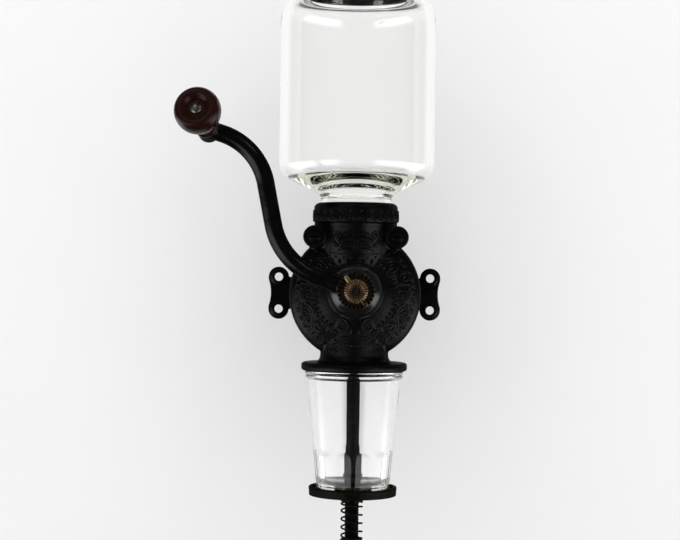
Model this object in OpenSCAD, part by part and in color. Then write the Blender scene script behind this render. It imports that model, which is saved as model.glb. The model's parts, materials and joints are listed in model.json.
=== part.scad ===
// Wall mounted coffee mill: a glass hopper jar over a cast iron grinding drum, a hand crank in front,
// and a glass cup held under the outlet by a sprung plate on a rod.
// Millimetres. The wall is the plane y = 0, the front faces -Y, +Z is up, and the origin is the centre
// of the four wall screws, which is also the centre line of the drum.

/* [Wall fixing] */
// Distance between the wall screws, side to side
screw_span_x = 116; // [114:0.5:128]
// Distance between the wall screws, up and down
screw_span_z = 24.5; // [22:0.5:32]
// Diameter of a wall screw hole
screw_hole_d = 6.5; // [5:0.1:8]
// Radius of the round end of a mounting ear
ear_r = 7.7; // [7:0.1:10]
// Thickness of a mounting ear
ear_t = 5; // [4:0.5:7]
// Width of the raised rim round a screw hole
ear_rim_w = 2.4; // [1.5:0.1:3]
// Height of the raised rim round a screw hole
ear_rim_h = 0.8; // [0.5:0.1:1.5]
// How far the outer edge of an ear is drawn in between its two ends
ear_waist = 1.8; // [0.5:0.1:3]

/* [Castings] */
// Outside diameter of the grinding drum
drum_d = 96.2; // [92:0.2:104]
// Wall thickness of the castings
casting_t = 4.6; // [4:0.1:5.5]
// Thickness of the back of the rear casting
back_t = 6; // [5:0.5:7]
// Distance from the jar's axis to the front of the drum
drum_reach = 25; // [24:0.5:30]
// Radius of the drum's domed front
face_r = 85; // [80:1:110]
// Radius of the drum's front edge
edge_r = 9; // [6:0.5:12]
// Height of the shaft above the centre of the drum
shaft_z = 3.5; // [0:0.5:5]
// Radius of the bell-shaped front bearing
bell_r = 19.3; // [18:0.1:22]
// Length of the bell in front of the drum
bell_len = 26; // [22:0.5:30]
// Radius of the bell's rounded shoulder
bell_round = 14; // [12:0.5:15]
// Depth of the spigot that centres the rear casting in the front one
spigot_h = 3; // [2:0.5:4]
// Radius of a bolt lug
lug_r = 8.2; // [7.5:0.1:9]
// Sideways distance of a bolt lug from the centre
lug_x = 29.8; // [29:0.1:32]
// Height of a bolt lug above the centre of the drum
lug_z = 41.9; // [41:0.1:44]
// How far a bolt lug stands in front of the jar's axis
lug_reach = 25; // [22:0.5:28]
// Shank diameter of a cover bolt
bolt_d = 6; // [5:0.1:7]
// Diameter of a cover bolt's head
bolt_head_d = 9.6; // [8.5:0.1:11]
// Height of a cover bolt's head
bolt_head_h = 3.6; // [2.5:0.1:5]

/* [Collar and throat] */
// Outside diameter of the collar
collar_d = 61.4; // [60:0.2:66]
// Height of the collar's top above the centre of the drum
collar_top = 67; // [65:0.5:72]
// Radius of the collar's top edge
collar_round = 4; // [2:0.1:4.5]
// Height of the collar's raised band
collar_band_h = 14.5; // [12:0.5:17]
// How far the band stands proud of the throat below it
band_step = 1.6; // [0.6:0.1:2]
// Lean of the throat back towards the wall, in degrees
throat_lean = 9; // [4:1:12]
// Depth of the socket for the jar's neck
socket_h = 21; // [18:0.5:22]
// Diameter of the bean port into the feed barrel
port_d = 24; // [20:0.5:26]
// Wall thickness of the feed barrel and its chute
barrel_t = 3.5; // [3:0.1:4.5]
// Inside diameter of the feed barrel
barrel_d = 35; // [34:0.5:38]

/* [Outlet] */
// Height of the flange's top below the centre of the drum
flange_drop = 49.5; // [49:0.5:54]
// Thickness of the flange
flange_t = 6; // [5:0.5:8]
// Diameter of the flange
flange_d = 77.6; // [75:0.2:79]
// Radius of the flange's rounded edge
flange_round = 2; // [1.2:0.1:2.8]
// Outside diameter of the outlet neck
outlet_d = 50; // [48:0.5:54]
// Inside diameter of the outlet
outlet_bore_d = 38; // [34:0.5:40]
// Radius of the fillet between the neck and the flange
outlet_fillet = 5; // [3:0.5:6]
// Height of the spigot that centres the cup
cup_spigot_h = 3; // [2:0.5:4]

/* [Grinding works] */
// Diameter of the main shaft
shaft_d = 12.7; // [11.5:0.1:13.5]
// Width of the square that drives the crank
square_w = 9; // [8:0.1:9.2]
// Diameter of the threaded front end of the shaft
stud_d = 6.4; // [6:0.1:7]
// Diameter of the rear journal
journal_d = 10; // [9:0.1:11]
// Length of the rear bearing inside the rear casting
bearing_h = 10; // [8:0.5:11]
// Radius of the boss round the rear bearing
bearing_r = 11; // [10:0.5:13]
// Diameter of the turning burr
burr_d = 66; // [62:0.5:68]
// Thickness of the turning burr's disc
burr_t = 8; // [7:0.5:9]
// Thickness of the fixed burr
ring_burr_t = 6.5; // [6:0.5:8]
// Gap between the burrs
burr_gap = 1.7; // [1.5:0.1:2.5]
// Number of teeth on each burr
burr_teeth = 20; // [12:1:24]
// Depth of a burr tooth
tooth_h = 1.8; // [1:0.1:2.2]
// Thickness of the seat that holds the fixed burr
seat_t = 5; // [4:0.5:6]
// Diameter of a fixed burr screw
burr_screw_d = 4; // [3.5:0.1:4.5]
// Diameter of the burr's drive pin
drive_pin_d = 3.2; // [2.5:0.1:4]
// Turns of the feed worm
worm_turns = 1.5; // [1:0.25:2]
// Thickness of the worm's flight
flight_t = 4; // [3:0.5:5]

/* [Crank] */
// Diameter of the crank's round arm
arm_d = 12.4; // [11:0.1:13]
// Radius of the crank's eye
eye_r = 13.2; // [12.5:0.1:15]
// Straight run of the arm from the shaft
arm_run_hub = 29; // [26:0.5:32]
// Straight run between the two bends
arm_run_mid = 27.5; // [24:0.5:32]
// Straight run to the knob
arm_run_end = 10; // [9:0.5:14]
// Radius of the first bend
bend_in_r = 48; // [40:1:56]
// Radius of the second bend
bend_out_r = 46; // [40:1:54]
// Heading of the arm at the shaft, in degrees from +X towards +Z
heading_hub = 160; // [150:1:170]
// Heading of the arm between the bends
heading_mid = 101; // [95:1:110]
// Heading of the arm at the knob
heading_end = 162; // [150:1:170]
// Lean of the knob outwards from the shaft's direction, in degrees
knob_lean = 17; // [10:1:22]
// Heading that the knob leans towards, in degrees from +X towards +Z
knob_heading = 116; // [105:1:140]
// Radius of the boss at the end of the arm
knob_boss_r = 8.2; // [7.5:0.1:9]
// Thickness of the boss at the end of the arm
knob_boss_t = 10; // [9:0.5:11]
// Clearance between the arm and the front of the jar
arm_clear = 3; // [2.5:0.5:6]
// Thickness of the notched index ring
index_t = 2.2; // [1.8:0.1:3]
// Radius of the notched index ring
index_r = 12.9; // [12:0.1:13.1]
// Number of notches in the index ring
index_notches = 24; // [16:2:30]
// Radius of the adjusting nut
nut_r = 8.2; // [7.5:0.1:9]
// Thickness of the adjusting nut
nut_h = 8; // [6:0.5:10]
// Distance across the tips of the nut's two wings
nut_wing_span = 26; // [24:0.5:30]
// Width of a wing
nut_wing_w = 3.2; // [2.5:0.1:4]
// Angle of the wings, in degrees from +X towards +Z
nut_wing_angle = 126; // [90:1:180]

/* [Knob] */
// Largest diameter of the knob
knob_d = 32; // [28:0.5:36]
// Length of the knob
knob_len = 38; // [34:0.5:46]
// Diameter of the knob's base ring
knob_base_d = 18; // [16:0.5:20]
// Diameter of the recess round the pin's head
knob_recess_d = 13; // [11:0.5:15]
// Depth of the recess round the pin's head
knob_recess_h = 4; // [3:0.5:5]
// Diameter of the knob's pin
knob_pin_d = 6; // [5:0.1:7]
// Diameter of the pin's head
knob_head_d = 8.4; // [8:0.1:10]
// Thickness of the washer under the knob
knob_washer_t = 1.2; // [0.8:0.1:2]

/* [Jar] */
// Outside diameter of the jar
jar_d = 114.3; // [108:0.5:120]
// Clearance between the jar and the wall
wall_gap = 1.85; // [1.5:0.05:4]
// Wall thickness of the jar
jar_t = 4; // [3:0.1:5]
// Outside diameter of the jar's neck
neck_d = 51.8; // [48:0.2:52]
// Height of the neck
neck_h = 26.5; // [25:0.5:30]
// Slope of the jar's base, in degrees
base_slope = 27; // [22:1:32]
// Slope of the floor inside the base, in degrees
floor_slope = 19; // [14:1:24]
// Radius of the bend between the neck and the base, outside
neck_bend_r = 3.5; // [2:0.5:5]
// Radius of the edge between the floor and the neck's bore, inside
neck_edge_r = 6; // [4:0.5:8]
// Radius of the corner between the base and the side
base_corner_r = 13; // [10:0.5:20]
// Height of the jar's side above the neck, up to the shoulder
side_h = 117.5; // [110:0.5:130]
// Radius of the shoulder, measured sideways
shoulder_w = 17.5; // [14:0.5:20]
// Height of the shoulder
shoulder_h = 27.5; // [20:0.5:30]
// Squareness of the shoulder: 2 is a plain ellipse
shoulder_power = 3.2; // [2:0.1:4]
// Height of the ring that the lid fits
mouth_h = 15; // [13:0.5:18]

/* [Lid] */
// Thickness of the lid's sheet metal
lid_t = 1; // [0.8:0.1:1.4]
// Clearance between the lid and the jar
lid_clear = 1.2; // [0.6:0.1:2]
// Radius of the rolled bead on the lid's edge
lid_bead_r = 1.4; // [1:0.1:1.8]
// Height of the raised centre of the lid
lid_crown_h = 2.5; // [1:0.5:4]

/* [Cup] */
// Diameter of the cup's rim
cup_rim_d = 72.4; // [70:0.2:76]
// Height of the rim's bead
cup_rim_h = 5.5; // [4:0.5:7]
// Diameter of the cup under its rim
cup_top_d = 68.4; // [66:0.2:69]
// Diameter of the cup's foot
cup_foot_d = 53.6; // [50:0.2:55]
// Height of the cup
cup_h = 86.5; // [80:0.5:92]
// Wall thickness of the cup
cup_t = 3.2; // [2.8:0.1:3.6]
// Thickness of the cup's base
cup_base_t = 4; // [3.5:0.5:8]
// Number of flat panels round the foot
cup_panels = 12; // [8:1:16]
// Height of a panel
panel_h = 29; // [24:0.5:36]
// Depth of a panel
panel_cut = 0.9; // [0.5:0.1:1.2]

/* [Cup rest] */
// Diameter of the plate
plate_d = 64.6; // [62:0.2:70]
// Thickness of the plate under the cup
plate_t = 4.6; // [4:0.1:6]
// Height of the plate's lip above the cup's foot
lip_h = 1.8; // [1:0.1:3]
// Width of the plate's lip
lip_w = 3.4; // [2.5:0.1:4]
// Width of the arm between the plate and its slide
plate_arm_w = 15; // [12:0.5:16]
// Outside diameter of the slide
slide_d = 17; // [16:0.2:19]
// Height of the slide below the cup's foot
slide_drop = 16; // [14:0.5:20]
// Diameter of the rod
rod_d = 11; // [9.5:0.1:12]
// Gap between the rod's boss and the flange
rod_boss_gap = 0.5; // [0.4:0.1:1]
// Length of rod in its boss
rod_seat_h = 11; // [9:0.5:12]
// Radius of the boss that holds the rod
rod_boss_r = 7.4; // [7:0.1:8]
// Diameter of the pin that holds the rod
rod_pin_d = 3; // [2.5:0.1:3.5]
// Length of the spring
spring_len = 30; // [24:0.5:36]
// Outside diameter of the spring
spring_d = 17.2; // [16:0.2:19]
// Diameter of the spring's wire
wire_d = 1.4; // [1.2:0.1:1.8]
// Number of curls in the spring
spring_curls = 4; // [3:1:5]
// Thickness of the washer under the spring
washer_t = 1.5; // [1:0.1:2]
// Diameter of the thumb nut
thumb_d = 23; // [20:0.5:24]
// Height of the thumb nut
thumb_h = 11; // [8:0.5:14]
// Length of rod that shows below the thumb nut
rod_tail = 4; // [2:0.5:8]

/* [Fits] */
// Radial clearance of a turning or sliding fit
run_fit = 0.06; // [0.02:0.01:0.1]
// Gap between faces that move past each other
face_gap = 0.3; // [0.2:0.05:0.5]
// Clearance of the jar's neck in its socket
neck_fit = 0.6; // [0.4:0.1:1]

/* [Hidden] */
$fn = 96;

iron = [0.12, 0.12, 0.13];
rust = [0.26, 0.2, 0.16];
steel = [0.6, 0.61, 0.62];
brass = [0.72, 0.58, 0.3];
wood = [0.25, 0.13, 0.09];
glass = [0.85, 0.92, 0.88, 0.45];
tin = [0.66, 0.67, 0.66];

// Overlap of cutters past the faces that they cut
cut = 1;
// Overlap of two cutters that meet face to face
skin = 0.01;

// Places along the depth, measured forwards from the wall
jar_r = jar_d / 2;
drum_r = drum_d / 2;
collar_r = collar_d / 2;
axis_depth = jar_r + wall_gap;
joint_margin = 1.3;
joint_depth = axis_depth - collar_r - joint_margin;
drum_front = axis_depth + drum_reach;
bell_front = drum_front + bell_len;
lug_front = axis_depth + lug_reach;
arm_depth = axis_depth + jar_r + arm_clear + arm_d / 2;
eye_back = bell_front + face_gap;
eye_front = arm_depth + arm_d / 2 + face_gap;
index_front = eye_front + index_t;
nut_back = index_front + face_gap / 2;
nut_front = nut_back + nut_h;
stud_sink = 2;
shaft_front = nut_front - stud_sink;
square_run = 2;
square_back = bell_front - square_run;
square_front = eye_front - square_run;

// Places of the grinding works along the depth
cavity_r = drum_r - casting_t;
barrel_r = barrel_d / 2;
barrel_back = axis_depth - barrel_r + barrel_t;
seat_rim = 3;
seat_r = burr_d / 2 + seat_rim;
ring_burr_front = barrel_back;
ring_burr_back = ring_burr_front - ring_burr_t;
burr_front = ring_burr_back - burr_gap;
burr_back = burr_front - burr_t;
bearing_front = back_t + bearing_h;
burr_hub_back = bearing_front + 2 * burr_gap;
burr_hub_t = 5;
burr_hub_r = shaft_d / 2 + burr_hub_t;
ring_eye_step = 0.5;
ring_eye_r = barrel_r + ring_eye_step;
burr_screw_shift = 2;
burr_screw_r = (ring_eye_r + burr_d / 2) / 2 + burr_screw_shift;
screw_floor = 0.5;
burr_screw_head_d = 2 * burr_screw_d;
barrel_lead = 3;
barrel_front = axis_depth + port_d / 2 + barrel_lead;
worm_margin = 1;
worm_back = barrel_back + worm_margin;
worm_front = barrel_front - worm_margin;
worm_hub_t = 2;
worm_hub_r = shaft_d / 2 + worm_hub_t;
worm_clear = 1.5;
worm_r = barrel_r - worm_clear;
shaft_sink = 1;
shaft_back = back_t - shaft_sink;
bearing_end_gap = 2;
bearing_floor = shaft_back - bearing_end_gap;
shoulder_gap = 1;
shoulder_depth = bearing_front + shoulder_gap;
bolt_end_gap = 2;
bolt_back = back_t + bolt_end_gap;
drive_pin_depth = (burr_hub_back + burr_back) / 2;
chute_r = port_d / 2 + barrel_t;

// Places up the mill
ledge_z = collar_top - socket_h;
socket_r = neck_d / 2 + neck_fit;
funnel_r = neck_d / 2 - jar_t;
funnel_h = 8;
band_bottom = collar_top - collar_band_h;
throat_len = 34;
flange_top = -flange_drop;
flange_bottom = flange_top - flange_t;
cup_foot_z = flange_bottom - cup_h;
slide_bottom = cup_foot_z - slide_drop;
spring_bottom = slide_bottom - spring_len;
washer_bottom = spring_bottom - washer_t;
thumb_bottom = washer_bottom - face_gap - thumb_h;
rod_bottom = thumb_bottom - rod_tail;
rod_boss_top = -sqrt(drum_r * drum_r - rod_boss_r * rod_boss_r) + casting_t;
rod_boss_drop = 2;
rod_boss_bottom = flange_bottom - rod_boss_drop;
rod_top = rod_boss_bottom + rod_seat_h;
rod_pin_z = rod_boss_bottom + rod_seat_h / 3;
cup_spigot_clear = 0.8;
cup_spigot_r = cup_top_d / 2 - cup_t - cup_spigot_clear;
rod_depth = axis_depth - flange_d / 2 - rod_boss_r - rod_boss_gap;

// The crank's route, in the plane of the arm, from the shaft
function unit(a) = [cos(a), sin(a)];
bend_in_start = arm_run_hub * unit(heading_hub);
bend_in_centre = bend_in_start + bend_in_r * unit(heading_hub - 90);
bend_in_end = bend_in_centre + bend_in_r * unit(heading_mid + 90);
bend_out_start = bend_in_end + arm_run_mid * unit(heading_mid);
bend_out_centre = bend_out_start + bend_out_r * unit(heading_mid + 90);
bend_out_end = bend_out_centre + bend_out_r * unit(heading_end - 90);
arm_end = bend_out_end + arm_run_end * unit(heading_end);
washer_base = knob_boss_t / 2;
knob_base = washer_base + knob_washer_t + face_gap;
knob_head_seat = knob_base + knob_len - knob_recess_h;
knob_head_h = 2.4;
knob_washer_inset = 3;
knob_tail_rim = 1.4;
knob_tail_r = knob_pin_d / 2 + knob_tail_rim;
knob_tail_h = 1.3;
echo(crank_throw = norm(arm_end), knob_place = [arm_end[0], -arm_depth, arm_end[1] + shaft_z]);

// Points of an arc about a centre, from angle a0 to a1, in n steps
function arc(c, r, a0, a1, n = 10) = [for (i = [0:n]) c + r * unit(a0 + (a1 - a0) * i / n)];

// Points of a quarter of an ellipse about a centre, from its side (0) to its top (90)
function oval(c, w, h, a0, a1, n = 10) =
  [for (i = [0:n]) let (a = a0 + (a1 - a0) * i / n) c + [w * cos(a), h * sin(a)]];

// Local x, y and z become sideways, up and forwards from the wall
module facing_front() {
  rotate([90, 0, 0]) children();
}

// Local z becomes forwards along the main shaft
module on_shaft() {
  facing_front() translate([0, shaft_z, 0]) children();
}

// The vertical axis that the jar, collar, outlet and cup share
module on_jar_axis() {
  translate([0, -axis_depth, 0]) children();
}

module on_rod() {
  translate([0, -rod_depth, 0]) children();
}

module both_sides() {
  children();
  mirror([1, 0, 0]) children();
}

// The knob's own axis, with z = 0 in the middle of the arm
module on_knob() {
  on_shaft() translate([arm_end[0], arm_end[1], arm_depth])
    rotate(knob_lean, [-sin(knob_heading), cos(knob_heading), 0]) children();
}

// Half section of a drum with a domed front and a rounded edge, from depth base to depth apex
module drum_section(r, base, apex, dome, edge) {
  centre = apex - dome;
  turn = [r - edge, centre + sqrt(pow(dome - edge, 2) - pow(r - edge, 2))];
  beyond = [0, centre] + 3 * (turn - [0, centre]);
  intersection() {
    translate([0, centre]) circle(dome);
    polygon([[0, base], [0, apex + cut], beyond, turn, [turn[0], base]]);
  }
  translate(turn) circle(edge);
  translate([turn[0] - cut, base]) square([edge + cut, turn[1] - base]);
}

// Half section of the bell-shaped front bearing
module bell_section() {
  straight = bell_front - sqrt(pow(bell_round, 2) - pow(eye_r - (bell_r - bell_round), 2));
  intersection() {
    union() {
      square([bell_r, straight]);
      translate([bell_r - bell_round, straight]) circle(bell_round);
    }
    translate([0, axis_depth]) square([bell_r, bell_front - axis_depth]);
  }
}

// Half section of the collar: a band with a rounded top
module collar_section() {
  inner = collar_r - collar_round;
  translate([0, band_bottom]) square([inner, collar_band_h]);
  translate([0, band_bottom]) square([collar_r, collar_band_h - collar_round]);
  translate([inner, collar_top - collar_round]) circle(collar_round);
}

// Half section of the outlet: neck, fillet, flange with a rounded edge, and the cup's spigot
module outlet_section() {
  neck_r = outlet_d / 2;
  flange_r = flange_d / 2;
  difference() {
    translate([0, flange_top]) square([neck_r + outlet_fillet, drum_r - outlet_fillet]);
    translate([neck_r + outlet_fillet, flange_top + outlet_fillet]) circle(outlet_fillet);
    translate([neck_r, flange_top + outlet_fillet]) square([outlet_fillet + cut, drum_r]);
  }
  translate([0, flange_bottom]) square([flange_r - flange_round, flange_t]);
  translate([0, flange_bottom + flange_round]) square([flange_r, flange_t - 2 * flange_round]);
  translate([flange_r - flange_round, flange_bottom + flange_round]) circle(flange_round);
  translate([flange_r - flange_round, flange_top - flange_round]) circle(flange_round);
  translate([0, flange_bottom - cup_spigot_h]) square([cup_spigot_r, cup_spigot_h + cut]);
}

module bolt_lug(from, to) {
  facing_front() translate([lug_x, lug_z, from]) cylinder(r = lug_r, h = to - from);
}

module bolt_hole(from, to) {
  facing_front() translate([lug_x, lug_z, from]) cylinder(d = bolt_d + 2 * run_fit, h = to - from);
}

// Feed barrel, its chute down from the collar, and the seat for the fixed burr
module feed_barrel() {
  on_shaft() translate([0, 0, barrel_back]) {
    cylinder(r = barrel_r + barrel_t, h = drum_front - barrel_back - cut);
    cylinder(r = seat_r, h = seat_t);
  }
  on_jar_axis() translate([0, 0, shaft_z]) cylinder(r = chute_r, h = ledge_z - shaft_z);
  on_jar_axis() translate([0, 0, ledge_z - funnel_h])
    cylinder(r1 = chute_r, r2 = funnel_r + barrel_t, h = funnel_h);
}

// Throat between the collar and the drum: its front leans back to meet the drum's face
module throat() {
  r = collar_r - band_step;
  side_step = 0.5;
  front = [collar_d, collar_d, throat_len + collar_band_h];
  corner = [-collar_r, 0, band_bottom - throat_len];
  on_jar_axis() intersection() {
    translate([0, 0, band_bottom]) rotate([throat_lean, 0, 0]) translate([0, 0, -throat_len])
      cylinder(r = r, h = throat_len + collar_band_h / 2);
    translate(corner - [0, collar_d, 0]) cube(front);
  }
  on_jar_axis() intersection() {
    translate([0, 0, band_bottom - throat_len]) cylinder(r = collar_r - side_step, h = throat_len + cut);
    translate(corner) cube(front);
  }
}

module body_shell() {
  difference() {
    union() {
      facing_front() rotate_extrude() drum_section(drum_r, joint_depth, drum_front, face_r, edge_r);
      on_shaft() rotate_extrude() bell_section();
      on_jar_axis() rotate_extrude() collar_section();
      throat();
      on_jar_axis() rotate_extrude() outlet_section();
      both_sides() bolt_lug(joint_depth, lug_front);
    }
    facing_front() rotate_extrude() drum_section(cavity_r, joint_depth - cut,
      drum_front - casting_t, face_r - casting_t, edge_r - casting_t);
  }
}

module body_casting() {
  color(iron) difference() {
    union() {
      body_shell();
      intersection() {
        feed_barrel();
        facing_front() rotate_extrude()
          drum_section(drum_r - cut, joint_depth, drum_front - cut, face_r - cut, edge_r - cut);
      }
    }
    on_jar_axis() translate([0, 0, ledge_z]) cylinder(r = socket_r, h = socket_h + cut);
    on_jar_axis() translate([0, 0, ledge_z - funnel_h])
      cylinder(r1 = port_d / 2, r2 = funnel_r, h = funnel_h + skin);
    on_jar_axis() translate([0, 0, shaft_z]) cylinder(d = port_d, h = ledge_z - shaft_z - funnel_h / 2);
    on_shaft() translate([0, 0, joint_depth - cut])
      cylinder(r = burr_d / 2 + face_gap, h = barrel_back - joint_depth + cut);
    on_shaft() translate([0, 0, barrel_back - cut])
      cylinder(r = barrel_r, h = barrel_front - barrel_back + cut);
    on_shaft() translate([0, 0, axis_depth])
      cylinder(d = shaft_d + 2 * run_fit, h = bell_front - axis_depth + cut);
    on_jar_axis() translate([0, 0, flange_bottom - cup_spigot_h - cut])
      cylinder(d = outlet_bore_d, h = shaft_z - seat_r - flange_bottom + cup_spigot_h);
    both_sides() bolt_hole(joint_depth - cut, lug_front + cut);
    burr_screw_places() translate([0, 0, barrel_back - cut])
      cylinder(d = burr_screw_d + 2 * run_fit, h = seat_t - screw_floor + cut);
  }
}

// One mounting ear: two round ends with the outer edge drawn in between them
module ear_outline() {
  hole = [screw_span_x / 2, screw_span_z / 2];
  straight = 2;
  chord = screw_span_z / 2 - straight;
  waist_r = (chord * chord + ear_waist * ear_waist) / (2 * ear_waist);
  difference() {
    union() {
      translate([0, -hole[1]]) square([hole[0] + ear_r, screw_span_z]);
      for (side = [-1, 1]) translate([hole[0], side * hole[1]]) circle(ear_r);
    }
    translate([hole[0] + ear_r - ear_waist + waist_r, 0]) circle(waist_r);
  }
}

// The four places of the wall screws, on the wall
module wall_screw_places() {
  for (x = [-1, 1], z = [-1, 1])
    facing_front() translate([x * screw_span_x / 2, z * screw_span_z / 2, 0]) children();
}

module rod_boss() {
  on_rod() translate([0, 0, rod_boss_bottom]) cylinder(r = rod_boss_r, h = rod_boss_top - rod_boss_bottom);
}

module rear_casting() {
  spigot_r = cavity_r - run_fit;
  color(iron) difference() {
    union() {
      both_sides() facing_front() linear_extrude(ear_t) ear_outline();
      wall_screw_places() cylinder(r = screw_hole_d / 2 + ear_rim_w, h = ear_t + ear_rim_h);
      facing_front() cylinder(r = drum_r, h = joint_depth);
      both_sides() bolt_lug(0, joint_depth);
      rod_boss();
      facing_front() translate([0, 0, joint_depth - cut]) cylinder(r = spigot_r, h = spigot_h + cut);
    }
    difference() {
      facing_front() translate([0, 0, back_t]) cylinder(r = cavity_r - casting_t / 2, h = joint_depth);
      on_shaft() cylinder(r = bearing_r, h = bearing_front);
      rod_boss();
    }
    on_shaft() translate([0, 0, bearing_floor]) cylinder(d = journal_d + 2 * run_fit, h = bearing_front);
    both_sides() bolt_hole(back_t, joint_depth + cut);
    wall_screw_places() translate([0, 0, -cut]) cylinder(d = screw_hole_d, h = ear_t + ear_rim_h + 2 * cut);
    on_rod() translate([0, 0, rod_boss_bottom - cut]) cylinder(d = rod_d + 2 * run_fit, h = rod_seat_h + cut);
    rod_pin_shape(rod_pin_d + 2 * run_fit, 2 * drum_r);
  }
}

module cover_bolts() {
  dome_r = (bolt_head_d * bolt_head_d / 4 + bolt_head_h * bolt_head_h) / (2 * bolt_head_h);
  color(rust) both_sides() facing_front() translate([lug_x, lug_z, 0]) {
    translate([0, 0, bolt_back]) cylinder(d = bolt_d, h = lug_front - bolt_back + bolt_head_h / 2);
    translate([0, 0, lug_front]) intersection() {
      cylinder(d = bolt_head_d, h = bolt_head_h);
      translate([0, 0, bolt_head_h - dome_r]) sphere(dome_r);
    }
  }
}

// Grooves that leave radial teeth on a burr's face at z = 0, cut into +z
module tooth_grooves(from, to) {
  for (i = [0:burr_teeth - 1]) rotate(i * 360 / burr_teeth) translate([from, 0, 0])
    rotate([45, 0, 0]) translate([0, -tooth_h / sqrt(2), -tooth_h / sqrt(2)])
      cube([to - from, tooth_h * sqrt(2), tooth_h * sqrt(2)]);
}

module burr_screw_places() {
  for (i = [0:2]) on_shaft() rotate(i * 120 - 90) translate([burr_screw_r, 0, 0]) children();
}

module fixed_burr() {
  color(steel) difference() {
    on_shaft() translate([0, 0, ring_burr_back]) difference() {
      cylinder(d = burr_d, h = ring_burr_t);
      translate([0, 0, -cut]) cylinder(r = ring_eye_r, h = ring_burr_t + 2 * cut);
      tooth_grooves(ring_eye_r - cut, burr_d / 2 + cut);
    }
    burr_screw_places() translate([0, 0, ring_burr_back - cut])
      cylinder(d = burr_screw_d + 2 * run_fit, h = ring_burr_t + 2 * cut);
    burr_screw_places() translate([0, 0, ring_burr_back - cut])
      cylinder(d = burr_screw_head_d + 2 * run_fit, h = tooth_h + burr_screw_d / 2 + cut);
  }
}

module burr_screws() {
  head_back = ring_burr_back + tooth_h;
  length = barrel_back + seat_t - 2 * screw_floor - head_back;
  color(steel) burr_screw_places() {
    translate([0, 0, head_back]) cylinder(d = burr_screw_head_d, h = burr_screw_d / 2);
    translate([0, 0, head_back]) cylinder(d = burr_screw_d, h = length);
  }
}

module turning_burr() {
  color(steel) difference() {
    union() {
      on_shaft() translate([0, 0, burr_back]) cylinder(d = burr_d, h = burr_t);
      on_shaft() translate([0, 0, burr_hub_back]) cylinder(r = burr_hub_r, h = burr_front - burr_hub_back);
    }
    on_shaft() translate([0, 0, burr_hub_back - cut])
      cylinder(d = shaft_d + 2 * run_fit, h = burr_front - burr_hub_back + 2 * cut);
    on_shaft() translate([0, 0, burr_front]) tooth_grooves(ring_eye_r - tooth_h, burr_d / 2 + cut);
    drive_pin_shape(drive_pin_d + 2 * run_fit, burr_d);
  }
}

// A pin straight through the burr's hub and the shaft
module drive_pin_shape(d, length) {
  on_shaft() translate([0, 0, drive_pin_depth]) rotate([0, 90, 0])
    cylinder(d = d, h = length, center = true);
}

module drive_pin() {
  color(steel) drive_pin_shape(drive_pin_d, 2 * burr_hub_r);
}

// The flight is a bar of square-cut section wound round the hub
module worm_flight() {
  steps = 36;
  low = worm_back;
  rise = worm_front - worm_back - flight_t;
  inner = worm_hub_r - cut;
  points = [
    for (i = [0:steps])
      let (a = 360 * worm_turns * i / steps, z = low + rise * i / steps)
        each [
          for (p = [[inner, 0], [worm_r, 0], [worm_r, flight_t], [inner, flight_t]])
            [p[0] * cos(a), p[0] * sin(a), z + p[1]]
        ]
  ];
  sides = [
    for (i = [0:steps - 1], k = [0:3])
      let (a = 4 * i + k, b = 4 * i + (k + 1) % 4)
        each [[a, b, a + 4], [b, b + 4, a + 4]]
  ];
  last = 4 * steps;
  ends = [[0, 2, 1], [0, 3, 2], [last, last + 1, last + 2], [last, last + 2, last + 3]];
  polyhedron(points, concat(sides, ends));
}

module feed_worm() {
  color(steel) difference() {
    on_shaft() union() {
      translate([0, 0, worm_back]) cylinder(r = worm_hub_r, h = worm_front - worm_back);
      worm_flight();
    }
    on_shaft() cylinder(d = shaft_d + 2 * run_fit, h = shaft_front);
  }
}

module main_shaft() {
  square_len = square_front - square_back + cut;
  color(steel) difference() {
    on_shaft() union() {
      translate([0, 0, shaft_back]) cylinder(d = journal_d, h = shoulder_depth - shaft_back + cut);
      translate([0, 0, shoulder_depth]) cylinder(d = shaft_d, h = square_back - shoulder_depth);
      translate([0, 0, square_back - cut]) intersection() {
        translate([-square_w / 2, -square_w / 2, 0]) cube([square_w, square_w, square_len]);
        cylinder(d = shaft_d, h = square_len);
      }
      translate([0, 0, square_front - cut]) cylinder(d = stud_d, h = shaft_front - square_front + cut);
    }
    drive_pin_shape(drive_pin_d + 2 * run_fit, burr_d);
  }
}

// Stations along the arm's centre line, as [sideways, up, heading], from the shaft to the knob
function arm_stations(n = 14) = concat(
  [[0, 0, heading_hub]],
  [for (i = [0:n]) let (h = heading_hub + (heading_mid - heading_hub) * i / n)
    [each (bend_in_centre + bend_in_r * unit(h + 90)), h]],
  [for (i = [0:n]) let (h = heading_mid + (heading_end - heading_mid) * i / n)
    [each (bend_out_centre + bend_out_r * unit(h - 90)), h]],
  [[each arm_end, heading_end]]
);

// The arm itself: a round section carried along the stations
module arm_sweep() {
  sides = 16;
  stations = arm_stations();
  last = len(stations) - 1;
  points = [
    for (s = stations, k = [0:sides - 1])
      let (a = 360 * k / sides, across = arm_d / 2 * cos(a) * unit(s[2] + 90))
        [s[0] + across[0], s[1] + across[1], arm_depth + arm_d / 2 * sin(a)]
  ];
  tube = [
    for (i = [0:last - 1], k = [0:sides - 1])
      let (a = sides * i + k, b = sides * i + (k + 1) % sides)
        each [[a, a + sides, b], [b, a + sides, b + sides]]
  ];
  far = sides * last;
  caps = [for (k = [1:sides - 2]) each [[0, k, k + 1], [far, far + k + 1, far + k]]];
  polyhedron(points, concat(tube, caps));
}

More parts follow.
